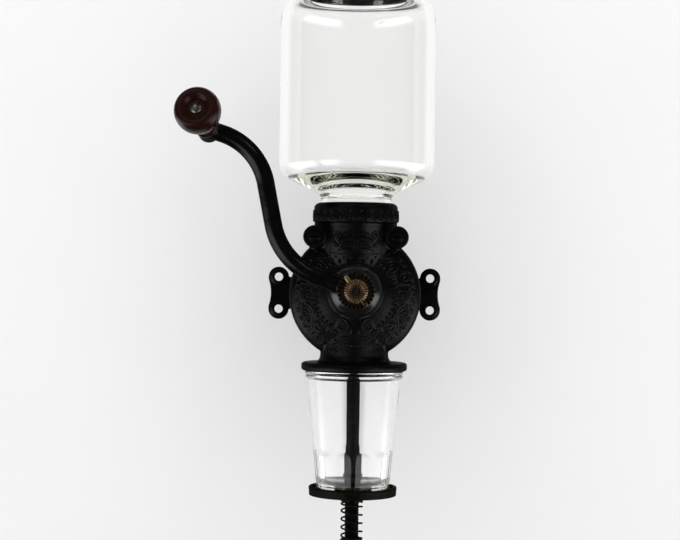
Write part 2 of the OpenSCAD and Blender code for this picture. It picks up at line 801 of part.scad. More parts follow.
module crank_arm() {
  eye_square = square_w + 2 * run_fit;
  color(iron) difference() {
    union() {
      on_shaft() translate([0, 0, eye_back]) cylinder(r = eye_r, h = eye_front - eye_back);
      on_shaft() arm_sweep();
      on_knob() translate([0, 0, -knob_boss_t / 2]) cylinder(r = knob_boss_r, h = knob_boss_t);
    }
    on_shaft() translate([-eye_square / 2, -eye_square / 2, eye_back - cut])
      cube([eye_square, eye_square, eye_front - eye_back + 2 * cut]);
    on_knob() translate([0, 0, -knob_boss_t]) cylinder(d = knob_pin_d + 2 * run_fit, h = 2 * knob_boss_t);
    on_knob() translate([0, 0, knob_boss_t / 2]) cylinder(r = knob_boss_r + cut, h = knob_boss_t);
    on_knob() translate([0, 0, -3 * knob_boss_t / 2]) cylinder(r = knob_boss_r + cut, h = knob_boss_t);
  }
}

module index_ring() {
  notch_w = PI * index_r / index_notches;
  color(brass) on_shaft() translate([0, 0, eye_front]) difference() {
    cylinder(r = index_r, h = index_t);
    translate([0, 0, -cut]) cylinder(d = stud_d + 4 * run_fit, h = index_t + 2 * cut);
    for (i = [0:index_notches - 1]) rotate(i * 360 / index_notches)
      translate([nut_r + face_gap, -notch_w / 2, index_t / 2]) cube([index_r, notch_w, index_t]);
  }
}

module adjusting_nut() {
  serration_h = 1.2;
  serration_rim = 1.2;
  serration_w = PI * nut_r / index_notches;
  color(brass) on_shaft() translate([0, 0, nut_back]) difference() {
    union() {
      cylinder(r = nut_r, h = nut_h);
      rotate(nut_wing_angle) translate([-nut_wing_span / 2, -nut_wing_w / 2, 0])
        cube([nut_wing_span, nut_wing_w, nut_h / 2]);
    }
    translate([0, 0, -cut]) cylinder(d = stud_d + 2 * run_fit, h = nut_h + 2 * cut);
    for (i = [0:index_notches - 1]) rotate((i + 0.5) * 360 / index_notches)
      translate([stud_d / 2 + serration_rim, -serration_w / 2, nut_h - serration_h])
        cube([nut_r, serration_w, nut_h]);
  }
}

// Half section of the turned knob: a base ring, a narrow neck, and a body that widens to a broad front
module knob_section() {
  bulb_r = knob_d / 2;
  base_r = knob_base_d / 2;
  ring_h = 3;
  ring_round = ring_h / 2;
  neck_step = 1.4;
  neck_r = base_r - neck_step;
  neck_z = 4;
  belly_share = 0.78;
  belly_z = belly_share * knob_len;
  front_land = 5.5;
  front_r = knob_recess_d / 2 + front_land;
  rim_round = 1.2;
  belly = [
    for (u = [0:1 / 12:1])
      [neck_r + (bulb_r - neck_r) * (1 - cos(180 * u)) / 2, neck_z + (belly_z - neck_z) * u]
  ];
  polygon(concat(
    [[0, 0], [base_r - ring_round, 0]],
    arc([base_r - ring_round, ring_round], ring_round, -60, 60, 6),
    belly,
    oval([front_r, belly_z], bulb_r - front_r, knob_len - belly_z, 6, 90),
    arc([knob_recess_d / 2 + rim_round, knob_len - rim_round], rim_round, 90, 180, 4),
    [[knob_recess_d / 2, knob_len - knob_recess_h], [0, knob_len - knob_recess_h]]
  ));
}

module crank_knob() {
  color(wood) on_knob() translate([0, 0, knob_base]) difference() {
    rotate_extrude() knob_section();
    translate([0, 0, -cut]) cylinder(d = knob_pin_d + 2 * run_fit, h = knob_len);
  }
}

module knob_pin() {
  head_r = knob_head_d / 2;
  dome = (head_r * head_r + knob_head_h * knob_head_h) / (2 * knob_head_h);
  color(steel) on_knob() {
    translate([0, 0, -knob_boss_t / 2 - knob_tail_h])
      cylinder(d = knob_pin_d, h = knob_head_seat + knob_boss_t / 2 + knob_tail_h + knob_head_h / 2);
    translate([0, 0, -knob_boss_t / 2 - knob_tail_h]) cylinder(r = knob_tail_r, h = knob_tail_h);
    translate([0, 0, knob_head_seat + face_gap]) intersection() {
      cylinder(r = head_r, h = knob_head_h);
      translate([0, 0, knob_head_h - dome]) sphere(dome);
    }
  }
}

module knob_washer() {
  color(steel) on_knob() translate([0, 0, washer_base]) difference() {
    cylinder(d = knob_base_d - knob_washer_inset, h = knob_washer_t);
    translate([0, 0, -cut]) cylinder(d = knob_pin_d + 2 * run_fit, h = knob_washer_t + 2 * cut);
  }
}

// Points of a quarter of a superellipse about a centre, from its side to its top
function squared_quarter(c, w, h, power, n = 12) =
  [for (i = [0:n]) let (a = 90 * i / n) c + [w * pow(cos(a), 2 / power), h * pow(sin(a), 2 / power)]];

// The corner between the jar's base and its side has one centre, inside and outside
jar_corner = [jar_r - base_corner_r,
  ledge_z + neck_h + tan(base_slope) * (jar_r - base_corner_r - neck_d / 2) + base_corner_r / cos(base_slope)];

// Outline of the jar's outside, or of its inside when drawn in by its wall, from the neck's foot to the mouth
function jar_outline(wall, slope, bend_r) =
  let (
    neck_r = neck_d / 2 - wall,
    corner_r = base_corner_r - wall,
    bend = [neck_r + bend_r,
      jar_corner[1] - (corner_r + bend_r) / cos(slope) - tan(slope) * (jar_corner[0] - neck_r - bend_r)],
    mouth_r = jar_r - shoulder_w - wall,
    shoulder_z = ledge_z + neck_h + side_h
  )
  concat(
    [[neck_r, ledge_z]],
    arc(bend, bend_r, 180, 90 + slope, 6),
    arc(jar_corner, corner_r, slope - 90, 0),
    squared_quarter([mouth_r, shoulder_z], shoulder_w, shoulder_h - wall, shoulder_power),
    [[mouth_r, jar_top]]
  );

jar_top = ledge_z + neck_h + side_h + shoulder_h + mouth_h;
mouth_r_out = jar_r - shoulder_w;

module hopper_jar() {
  outside = jar_outline(0, base_slope, neck_bend_r);
  inside = jar_outline(jar_t, floor_slope, neck_edge_r);
  color(glass) on_jar_axis() rotate_extrude()
    polygon(concat(outside, [for (i = [len(inside) - 1:-1:0]) inside[i]]));
}

lid_gap = 0.3;
lid_edge = jar_top - mouth_h + 2 * lid_bead_r;
lid_in_r = mouth_r_out + lid_clear;
lid_out_r = lid_in_r + lid_t;

// A pressed screw lid: raised centre, rounded shoulder, straight skirt and a rolled bead
module lid_section() {
  under = jar_top + lid_gap;
  top = under + lid_t;
  shoulder = lid_clear;
  rim_w = 9;
  centre_r = lid_out_r - rim_w;
  step = 2;
  polygon(concat(
    [[0, under + lid_crown_h], [centre_r - step, under + lid_crown_h], [centre_r, under]],
    arc([lid_in_r - shoulder, under - shoulder], shoulder, 90, 0, 6),
    [[lid_in_r, lid_edge], [lid_out_r, lid_edge]],
    arc([lid_in_r - shoulder, under - shoulder], shoulder + lid_t, 0, 90, 6),
    [[centre_r + lid_t, top], [centre_r - step + lid_t, top + lid_crown_h], [0, top + lid_crown_h]]
  ));
  translate([lid_out_r, lid_edge + lid_bead_r / 2]) circle(lid_bead_r, $fn = 24);
}

module jar_lid() {
  color(tin) on_jar_axis() rotate_extrude() lid_section();
}

// Half section of the cup: beaded rim, tapered wall and a thick base
module cup_section() {
  rim_r = cup_rim_d / 2;
  top_r = cup_top_d / 2;
  foot_r = cup_foot_d / 2;
  rim_low = flange_bottom - cup_rim_h;
  bead = cup_rim_h / 2;
  foot_round = 2.5;
  inner_foot = 6;
  mouth_flare = 0.6;
  taper = (top_r - foot_r) / (cup_h - cup_rim_h);
  floor_z = cup_foot_z + cup_base_t;
  floor_r = foot_r + taper * cup_base_t - cup_t;
  polygon(concat(
    [[0, cup_foot_z]],
    arc([foot_r - foot_round, cup_foot_z + foot_round], foot_round, -90, 0, 4),
    [[top_r, rim_low]],
    oval([rim_r - bead, flange_bottom - bead], bead, bead, -60, 90, 8),
    [[top_r - cup_t + mouth_flare, flange_bottom], [top_r - cup_t, rim_low]],
    [for (i = [0:6]) let (a = 90 * i / 6)
      [floor_r - inner_foot + inner_foot * cos(a) + taper * inner_foot * (1 - sin(a)),
        floor_z + inner_foot * (1 - sin(a))]],
    [[0, floor_z]]
  ));
}

// Cutter for one flat panel: an upright arch that leans with the cup's wall
module cup_panel() {
  foot_r = cup_foot_d / 2;
  lean = atan((cup_top_d - cup_foot_d) / 2 / (cup_h - cup_rim_h));
  panel_share = 0.86;
  width = 2 * foot_r * sin(180 / cup_panels) * panel_share;
  depth = foot_r * cos(180 / cup_panels * panel_share) - panel_cut / 3;
  translate([0, 0, cup_foot_z]) rotate([0, lean, 0]) translate([depth, 0, 0]) rotate([90, 0, 90])
    linear_extrude(foot_r) {
      translate([-width / 2, -cut]) square([width, panel_h - width / 2 + cut]);
      translate([0, panel_h - width / 2]) circle(d = width, $fn = 32);
    }
}

module catch_cup() {
  color(glass) on_jar_axis() difference() {
    rotate_extrude() cup_section();
    for (i = [0:cup_panels - 1]) rotate(90 + (i + 0.5) * 360 / cup_panels) cup_panel();
  }
}

// A dished plate under the cup, with an arm back to the slide on the rod
module cup_plate() {
  plate_r = plate_d / 2;
  bottom = cup_foot_z - plate_t;
  lip_round = 0.8;
  under_draw = 0.4;
  reach = axis_depth - rod_depth;
  color(rust) difference() {
    union() {
      on_jar_axis() rotate_extrude() polygon(concat(
        [[0, cup_foot_z], [plate_r - lip_w, cup_foot_z]],
        [[plate_r - lip_w + lip_h / 2, cup_foot_z + lip_h]],
        arc([plate_r - lip_round, cup_foot_z + lip_h - lip_round], lip_round, 90, 0, 4),
        [[plate_r - under_draw, bottom], [0, bottom]]
      ));
      translate([-plate_arm_w / 2, -axis_depth, bottom]) cube([plate_arm_w, reach, plate_t]);
      on_rod() translate([0, 0, slide_bottom]) cylinder(d = slide_d, h = cup_foot_z + lip_h - slide_bottom);
      translate([-plate_t / 2, -axis_depth, 0]) rotate([90, 0, 90]) linear_extrude(plate_t)
        polygon([[0, bottom + cut], [reach, bottom + cut],
          [reach, slide_bottom], [reach - slide_d / 2, slide_bottom]]);
    }
    on_rod() translate([0, 0, slide_bottom - cut])
      cylinder(d = rod_d + 2 * run_fit, h = cup_foot_z + lip_h - slide_bottom + 2 * cut);
  }
}

module guide_rod() {
  color(iron) difference() {
    on_rod() translate([0, 0, rod_bottom]) cylinder(d = rod_d, h = rod_top - rod_bottom);
    rod_pin_shape(rod_pin_d + 2 * run_fit, 2 * drum_r);
  }
}

// A pin across the boss that holds the top of the rod
module rod_pin_shape(d, length) {
  on_rod() translate([0, 0, rod_pin_z]) rotate([0, 90, 0]) cylinder(d = d, h = length, center = true);
}

module rod_pin() {
  color(steel) rod_pin_shape(rod_pin_d, 2 * rod_boss_r);
}

// The spring's path: a straight end, the curls, and a straight end.
// Each step is a turn angle, a height and the lean of the wire.
spring_r = (spring_d - wire_d) / 2;
curl_rings = 8;
curl_rise = spring_len - 2 * wire_d;
curl_steps = curl_rings * spring_curls;
curl_lean = atan(curl_rise / (2 * PI * spring_r * spring_curls));
spring_path = concat(
  [[0, spring_bottom, 90]],
  [[0, spring_bottom + wire_d, (90 + curl_lean) / 2]],
  [for (i = [1:curl_steps - 1])
    [360 * i / curl_rings, spring_bottom + wire_d + curl_rise * i / curl_steps, curl_lean]],
  [[360 * spring_curls, slide_bottom - wire_d, (90 + curl_lean) / 2]],
  [[360 * spring_curls, slide_bottom, 90]]
);
function spring_place(p) = [spring_r * cos(p[0]), spring_r * sin(p[0]), p[1]];
spring_gap = min([
  for (i = [0:len(spring_path) - 1], k = [0:len(spring_path) - 1])
    if (k - i > curl_rings / 2) norm(spring_place(spring_path[i]) - spring_place(spring_path[k])) - wire_d
]);
echo(spring_least_gap = spring_gap);

module cup_spring() {
  sides = 6;
  mitre = 1 / cos((90 - curl_lean) / 2);
  last = len(spring_path) - 1;
  points = [
    for (i = [0:last])
      let (p = spring_path[i], out = [cos(p[0]), sin(p[0]), 0], along = [-sin(p[0]), cos(p[0]), 0],
        over = cos(p[2]) * [0, 0, 1] - sin(p[2]) * along, wide = (i == 1 || i == last - 1) ? mitre : 1)
        each [
          for (k = [0:sides - 1])
            let (a = 360 * k / sides)
              spring_place(p) + wire_d / 2 * (cos(a) * out + wide * sin(a) * over)
        ]
  ];
  tube = [
    for (i = [0:last - 1], k = [0:sides - 1])
      let (a = sides * i + k, b = sides * i + (k + 1) % sides)
        each [[a, a + sides, b], [b, a + sides, b + sides]]
  ];
  far = sides * last;
  caps = [for (k = [1:sides - 2]) each [[0, k, k + 1], [far, far + k + 1, far + k]]];
  color(rust) on_rod() mirror([1, 0, 0]) polyhedron(points, concat(tube, caps));
}

module spring_washer() {
  washer_rim = 1;
  color(rust) on_rod() translate([0, 0, washer_bottom]) difference() {
    cylinder(d = spring_d + 2 * washer_rim, h = washer_t);
    translate([0, 0, -cut]) cylinder(d = rod_d + 2 * run_fit, h = washer_t + 2 * cut);
  }
}

// A round thumb nut with a grip of upright grooves
module thumb_nut() {
  grooves = 16;
  groove_r = 1.3;
  collar_h = 3;
  collar_inset = 2.5;
  color(rust) on_rod() translate([0, 0, thumb_bottom]) difference() {
    union() {
      cylinder(d = thumb_d, h = thumb_h - collar_h);
      cylinder(d = thumb_d - 2 * collar_inset, h = thumb_h);
    }
    translate([0, 0, -cut]) cylinder(d = rod_d + 2 * run_fit, h = thumb_h + 2 * cut);
    for (i = [0:grooves - 1]) rotate(i * 360 / grooves) translate([thumb_d / 2 + groove_r / 2, 0, -cut])
      cylinder(r = groove_r, h = thumb_h + 2 * cut, $fn = 24);
  }
}

body_casting();
rear_casting();
cover_bolts();
fixed_burr();
burr_screws();
turning_burr();
feed_worm();
main_shaft();
drive_pin();
crank_arm();
index_ring();
adjusting_nut();
crank_knob();
knob_pin();
knob_washer();
hopper_jar();
jar_lid();
catch_cup();
cup_plate();
guide_rod();
rod_pin();
cup_spring();
spring_washer();
thumb_nut();
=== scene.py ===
"""Looks of a wall mounted coffee mill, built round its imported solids.

Every new piece is a surface worked out with numpy in metres, in the frame of the solids: the wall is
the plane y = 0, the front faces -Y and +Z is up.
"""

import json
import math

import bmesh
import bpy
import numpy as np
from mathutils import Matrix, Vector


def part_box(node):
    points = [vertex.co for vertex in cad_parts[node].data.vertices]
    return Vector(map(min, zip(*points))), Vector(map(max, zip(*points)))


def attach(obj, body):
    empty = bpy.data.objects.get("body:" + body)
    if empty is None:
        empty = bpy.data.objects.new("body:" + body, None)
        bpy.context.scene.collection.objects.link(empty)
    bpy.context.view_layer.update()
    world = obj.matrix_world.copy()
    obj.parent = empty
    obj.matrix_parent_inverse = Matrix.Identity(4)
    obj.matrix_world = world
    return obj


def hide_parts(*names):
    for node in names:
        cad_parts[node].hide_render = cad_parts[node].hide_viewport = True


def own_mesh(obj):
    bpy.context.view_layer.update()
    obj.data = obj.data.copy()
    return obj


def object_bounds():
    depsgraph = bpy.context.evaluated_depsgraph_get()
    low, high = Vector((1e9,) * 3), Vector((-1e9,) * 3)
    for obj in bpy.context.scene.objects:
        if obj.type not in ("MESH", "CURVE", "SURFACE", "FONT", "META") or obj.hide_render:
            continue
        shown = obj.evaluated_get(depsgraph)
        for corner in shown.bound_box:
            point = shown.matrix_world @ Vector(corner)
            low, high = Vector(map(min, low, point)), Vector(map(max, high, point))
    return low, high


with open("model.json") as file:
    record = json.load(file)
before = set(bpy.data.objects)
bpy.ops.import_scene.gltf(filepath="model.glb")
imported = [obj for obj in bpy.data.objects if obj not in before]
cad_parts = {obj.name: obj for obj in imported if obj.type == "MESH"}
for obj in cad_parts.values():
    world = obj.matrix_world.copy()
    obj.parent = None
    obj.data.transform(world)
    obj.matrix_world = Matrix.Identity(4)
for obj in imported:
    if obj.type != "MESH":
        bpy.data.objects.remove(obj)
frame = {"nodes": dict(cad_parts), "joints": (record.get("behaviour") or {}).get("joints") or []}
SOLID_BOX = [list(corner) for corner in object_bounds()]

MM = 0.001
TURN = 2 * math.pi
JOINTS = {joint["name"]: joint for joint in frame["joints"]}


def middle_and_size(node):
    """The middle and the size of a solid's box, as arrays."""
    low, high = (np.array(corner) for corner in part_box(node))
    return (low + high) / 2, high - low


def levels(node):
    """The heights of a solid's bottom and top, in millimetres."""
    return [corner.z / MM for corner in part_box(node)]


def depths(node):
    """The depths of a solid's back and front from the wall, in millimetres."""
    return [-corner.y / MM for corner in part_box(node)[::-1]]


# Places taken from the solids
jar_middle, jar_size = middle_and_size("hopper_jar")
AXIS = np.array([0.0, jar_middle[1], 0.0])
JAR_R = jar_size[0] / 2
SHAFT_Z = JOINTS["crank_turn"]["pos_m"][2]
SHAFT = np.array([0.0, 0.0, SHAFT_Z])
SHAFT_BORE_R = 6.5 * MM
FRONT = np.array([0.0, -1.0, 0.0])
UP = np.array([0.0, 0.0, 1.0])
KNOB_ROOT = np.array(JOINTS["knob_spin"]["pos_m"])
KNOB_AXIS = np.array(JOINTS["knob_spin"]["axis"])
ROD = np.array([0.0, JOINTS["thumb_turn"]["pos_m"][1], 0.0])


# Curves and profiles


def arc(centre, radius, start, end, count=16):
    """Points on a circle or, with two radii, an ellipse, from one angle to the other in degrees."""
    angle = np.radians(np.linspace(start, end, count))
    return np.array(centre) + np.array(radius) * np.stack([np.cos(angle), np.sin(angle)], 1)


def outline(*parts):
    """One list of points from single points and runs of points, in millimetres."""
    return np.concatenate([np.atleast_2d(part) for part in parts])


def lengths(line):
    """Each point's distance along a line from its start."""
    return np.concatenate([[0.0], np.cumsum(np.linalg.norm(np.diff(line, axis=0), axis=1))])


def directions(line):
    """The direction of a line at each of its points, one long."""
    step = np.gradient(line, axis=0)
    return step / np.linalg.norm(step, axis=1)[:, None]


def resample(points, step, closed=False):
    """The same line with points an even step apart."""
    line = np.concatenate([points, points[:1]]) if closed else points
    length = lengths(line)
    count = max(4, int(round(length[-1] / step)))
    at = np.linspace(0.0, length[-1], count + 1)
    even = np.stack([np.interp(at, length, line[:, k]) for k in range(line.shape[1])], 1)
    return even[:-1] if closed else even


def soften(points, step, rounds, closed=False):
    """An evenly stepped line whose points move towards the mean of their neighbours, which rounds its corners."""
    line = resample(points, step, closed)
    for _ in range(rounds):
        mean = (np.roll(line, 1, 0) + np.roll(line, -1, 0)) / 2
        if not closed:
            mean[0], mean[-1] = line[0], line[-1]
        line = (line + mean) / 2
    return line


# Surfaces


def lathe(profile, turns, origin=AXIS, axis=UP, ripple=None):
    """A profile of (radius, height) in millimetres turned about an axis.

    The point is origin + height * axis + radius * (cos a * side + sin a * across).
    A ripple is a function of angle and height that multiplies the radius.
    """
    axis = np.asarray(axis, float) / np.linalg.norm(axis)
    side = np.cross(UP if abs(axis[2]) < 0.9 else FRONT, axis)
    side /= np.linalg.norm(side)
    across = np.cross(axis, side)
    angle = np.linspace(0.0, TURN, turns, endpoint=False)[None, :, None]
    radius = (profile[:, 0] * MM)[:, None, None]
    height = (profile[:, 1] * MM)[:, None, None]
    if ripple is not None:
        radius = radius * ripple(angle, height)
    return origin + height * axis + radius * (np.cos(angle) * side + np.sin(angle) * across)


def tube(path, radius, aside, sides):
    """A round section carried along a path and closed at both ends.

    Each ring is centre + radius * (cos a * aside + sin a * over), with over at right angles to aside and the path.
    """
    over = np.cross(directions(path), aside)
    angle = np.linspace(0.0, TURN, sides, endpoint=False)[None, :, None]
    reach = np.broadcast_to(radius, len(path))[:, None, None]
    ring = path[:, None] + reach * (np.cos(angle) * aside[:, None] + np.sin(angle) * over[:, None])
    return np.concatenate([np.repeat(path[:1, None], sides, 1), ring, np.repeat(path[-1:, None], sides, 1)])


def grid_faces(rows, columns, wrap_rows, wrap_columns):
    """Corner numbers of the quads between neighbouring points of a grid."""
    i = np.arange(rows if wrap_rows else rows - 1)[:, None]
    j = np.arange(columns if wrap_columns else columns - 1)[None, :]
    near, far = i * columns, (i + 1) % rows * columns
    after = (j + 1) % columns
    return np.stack([near + j, near + after, far + after, far + j], -1).reshape(-1, 4)


def surface(grid, wrap_rows=False, wrap_columns=True):
    """Points and faces of one grid."""
    rows, columns = grid.shape[:2]
    return grid.reshape(-1, 3), grid_faces(rows, columns, wrap_rows, wrap_columns)


def slab(top, bottom):
    """Points and faces of a closed plate between two open grids: both faces, and a wall round the edge."""
    rows, columns = top.shape[:2]
    count = rows * columns
    upper = grid_faces(rows, columns, False, False)
    lower = upper[:, ::-1] + count
    number = np.arange(count).reshape(rows, columns)
    edge = np.concatenate([number[0], number[1:, -1], number[-1, -2::-1], number[-2:0:-1, 0]])
    after = np.roll(edge, -1)
    wall = np.stack([after, edge, edge + count, after + count], 1)
    return np.concatenate([top.reshape(-1, 3), bottom.reshape(-1, 3)]), np.concatenate([upper, lower, wall])


def together(*shapes):
    """Several shapes' points and faces as one."""
    starts = np.cumsum([0] + [len(points) for points, _ in shapes[:-1]])
    return np.concatenate([p for p, _ in shapes]), np.concatenate([f + s for (_, f), s in zip(shapes, starts)])


# Objects


def points_of(mesh):
    """A mesh's points, as rows."""
    place = np.empty(len(mesh.vertices) * 3)
    mesh.vertices.foreach_get("co", place)
    return place.reshape(-1, 3)


def move_points(mesh, place):
    mesh.vertices.foreach_set("co", place.ravel())
    mesh.update()


def volume(mesh):
    """Six times the volume inside a mesh, which is negative where its faces point inwards."""
    mesh.calc_loop_triangles()
    corner = np.empty(len(mesh.loop_triangles) * 3, int)
    mesh.loop_triangles.foreach_get("vertices", corner)
    a, b, c = np.moveaxis(points_of(mesh)[corner.reshape(-1, 3)], 1, 0)
    return float(np.einsum("ij,ij->", a, np.cross(b, c)))


def merge_points(mesh, gap=1e-7):
    """Join the points that lie on each other, as at a pole."""
    work = bmesh.new()
    work.from_mesh(mesh)
    bmesh.ops.remove_doubles(work, verts=work.verts, dist=gap)
    work.to_mesh(mesh)
    work.free()


def put_in_scene(name, content):
    piece = bpy.data.objects.new(name, content)
    bpy.context.scene.collection.objects.link(piece)
    return piece


def new_mesh(name, shape):
    """A mesh from points and faces, with its poles closed and its faces outwards."""
    points, faces = shape
    mesh = bpy.data.meshes.new(name)
    mesh.from_pydata(points, [], faces.tolist())
    merge_points(mesh)
    if volume(mesh) < 0:
        mesh.flip_normals()
    return mesh


def finish_piece(piece, material, body, slot, replaced=(), sharp=40):
    """Shade a piece, give it its finish and put it on its body."""
    piece.data.shade_smooth()
    piece.data.set_sharp_from_angle(angle=math.radians(sharp))
    piece.data.materials.clear()
    piece.data.materials.append(material)
    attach(piece, body)
    if replaced:
        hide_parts(*replaced)
    return piece


def add_piece(name, shape, *finish, **more):
    return finish_piece(put_in_scene(name, new_mesh(name, shape)), *finish, **more)


def even_skin(piece, step, rounds):
    """Fuse a piece's shells into one skin on an even grid, and round its edges as a casting's are.

    Each point moves towards the mean of its neighbours and then nearly as far back, which smooths and
    keeps the size.
    """
    mesh = piece.data
    mesh.remesh_voxel_size = step
    bpy.context.view_layer.objects.active = piece
    bpy.ops.object.voxel_remesh()
    place = points_of(mesh)
    pair = np.empty(len(mesh.edges) * 2, int)
    mesh.edges.foreach_get("vertices", pair)
    ends = np.concatenate([pair[0::2], pair[1::2]])
    others = np.concatenate([pair[1::2], pair[0::2]])
    share = np.bincount(ends, minlength=len(place))[:, None]
    for weight in [0.5, -0.51] * rounds:
        total = np.stack([np.bincount(ends, place[others, k], len(place)) for k in range(3)], 1)
        place += weight * (total / share - place)
    move_points(mesh, place)
    return piece


def cast_copy(name, node, step, rounds):
    """A copy of a solid with a casting's rounded edges."""
    mesh = frame["nodes"][node].data.copy()
    mesh.name = name
    merge_points(mesh, 1e-6)
    return even_skin(put_in_scene(name, mesh), step, rounds)


def bored(piece, radius):
    """Move the points of a skin that lie too near the shaft's axis out to a bore's radius."""
    place = points_of(piece.data)
    off = place[:, [0, 2]] - [0, SHAFT_Z]
    reach = np.linalg.norm(off, axis=1)[:, None]
    place[:, [0, 2]] = [0, SHAFT_Z] + off * np.maximum(1, radius / np.maximum(reach, 1e-9))
    move_points(piece.data, place)


# Relief: heights over a flat pattern


def ridge(spots, line, width, height):
    """Height of a rounded rib along a line: height * (1 - (distance / width)^2) where that is above nothing."""
    width = np.broadcast_to(width, len(line))
    result = np.zeros(len(spots))
    for part in np.array_split(np.arange(len(line)), max(1, len(line) // 40)):
        gap = np.linalg.norm(spots[:, None] - line[None, part], axis=2) / width[part]
        result = np.maximum(result, height * np.clip(1 - gap.min(1) ** 2, 0, None))
    return result


def spiral(centre, start_r, end_r, start, end, count=60):
    """A line that winds in from one radius to another between two angles in degrees."""
    return arc(centre, np.linspace(start_r, end_r, count)[:, None], start, end, count)


def bow(start, end, rise, count=40):
    """A curved line between two points that stands off its chord by a rise in the middle."""
    share = np.linspace(0, 1, count)[:, None]
    start, end = np.array(start, float), np.array(end, float)
    chord = end - start
    off = np.array([-chord[1], chord[0]]) / np.linalg.norm(chord)
    return start + chord * share + off * rise * 4 * share * (1 - share)


def leaf(spots, start, end, width, height, rise=0.0):
    """A leaf: a rib that swells and tapers along a curved line, with a sunk vein down its middle."""
    line = bow(start, end, rise)
    share = np.linspace(0, 1, len(line))
    swell = width * np.sin(np.pi * np.clip(share, 0.04, 0.97) ** 0.7)
    body = ridge(spots, line, np.maximum(swell, 0.25), height)
    vein = ridge(spots, line, np.maximum(0.22 * swell, 0.1), 0.45 * height)
    return np.maximum(body - vein, 0)


def mirrored(spots):
    """The pattern's places with the left half laid on the right half."""
    return np.stack([np.abs(spots[:, 0]), spots[:, 1]], 1)


# Materials


def node_material(name):
    material = bpy.data.materials.new(name)
    material.use_nodes = True
    tree = material.node_tree
    return material, tree, tree.nodes["Principled BSDF"]


def feed(tree, node, inputs):
    """Give a node's inputs, by name or number, another node's output, a number, a colour or a list."""
    for key, value in inputs.items():
        if isinstance(value, bpy.types.NodeSocket):
            tree.links.new(value, node.inputs[key])
        else:
            node.inputs[key].default_value = (*value, 1) if isinstance(value, tuple) else value


def add_node(tree, kind, inputs=(), **settings):
    """A shader node with its own settings, and with what its inputs are given."""
    made = tree.nodes.new(kind)
    for key, value in settings.items():
        setattr(made, key, value)
    feed(tree, made, dict(inputs))
    return made


def axes(tree, space="Object"):
    """The X, Y and Z of the piece's own coordinates, or of another space."""
    where = add_node(tree, "ShaderNodeTexCoord").outputs[space]
    return add_node(tree, "ShaderNodeSeparateXYZ", {"Vector": where}).outputs


def object_noise(tree, scale, detail=4.0, stretch=(1, 1, 1)):
    """Noise over the piece's own coordinates, in spots per metre."""
    where = add_node(tree, "ShaderNodeTexCoord").outputs["Object"]
    turn = add_node(tree, "ShaderNodeMapping", {"Vector": where, "Scale": list(stretch)})
    inputs = {"Vector": turn.outputs["Vector"], "Scale": scale, "Detail": detail, "Roughness": 0.55}
    return add_node(tree, "ShaderNodeTexNoise", inputs).outputs["Fac"]


def graded(tree, value, *stops):
    """A colour ramp with stops of (position, colour)."""
    ramp = add_node(tree, "ShaderNodeValToRGB", {"Fac": value})
    points = ramp.color_ramp.elements
    while len(points) < len(stops):
        points.new(0.5)
    for point, (position, colour) in zip(points, stops):
        point.position = position
        point.color = (*colour, 1)
    return ramp.outputs["Color"]


def spread(tree, value, low, high, start=0.3, end=0.7):
    """A value from one range carried into another."""
    inputs = {"Value": value, "From Min": start, "From Max": end, "To Min": low, "To Max": high}
    return add_node(tree, "ShaderNodeMapRange", inputs).outputs["Result"]


def blended(tree, share, first, second):
    """One colour over another, by a share."""
    return add_node(tree, "ShaderNodeMix", {0: share, 6: first, 7: second}, data_type="RGBA").outputs[2]


def worked(tree, operation, first, second=0.0):
    """One or two values, each a number or another node's output, put through an operation."""
    return add_node(tree, "ShaderNodeMath", {0: first, 1: second}, operation=operation).outputs[0]


def either(tree, share, first, second):
    """One shader over another, by a share."""
    return add_node(tree, "ShaderNodeMixShader", {0: share, 1: first, 2: second}).outputs[0]


def seen_first_hand(tree, ray, kind):
    """A share that is one for rays of a kind that no matt surface has scattered."""
    return worked(tree, "MULTIPLY", kind, worked(tree, "LESS_THAN", ray["Diffuse Depth"], 0.5))


def bumped(tree, shader, value, strength, distance):
    """A fine unevenness of the skin: a share of a height in metres."""
    bump = add_node(tree, "ShaderNodeBump", {"Height": value, "Strength": strength, "Distance": distance})
    feed(tree, shader, {"Normal": bump.outputs["Normal"]})


def worn_edges(tree, start, end):
    """A share that rises on outer edges, where a finish wears through."""
    shape = add_node(tree, "ShaderNodeNewGeometry")
    return spread(tree, shape.outputs["Pointiness"], 0, 1, start, end)


def near_hub(tree):
    """A share that is one on the bell round the shaft's front and nothing elsewhere."""
    where = add_node(tree, "ShaderNodeTexCoord").outputs["Object"]
    steps = {0: where, 1: [1, 0, 1], 2: [0, 0, -SHAFT_Z]}
    flat = add_node(tree, "ShaderNodeVectorMath", steps, operation="MULTIPLY_ADD")
    reach = add_node(tree, "ShaderNodeVectorMath", {0: flat.outputs["Vector"]}, operation="LENGTH")
    inside = spread(tree, reach.outputs["Value"], 1, 0, 0.0195, 0.0215)
    return worked(tree, "MULTIPLY", inside, spread(tree, axes(tree)["Y"], 1, 0, -0.091, -0.087))


def dark_metal(tree, shader, base, rough):
    """A dark reflecting skin, with a nearly black tint at a slant, so that its rims stay dark."""
    feed(tree, shader, {"Base Color": base, "Metallic": 0.88, "Specular Tint": (0.08, 0.08, 0.08), "Roughness": rough})


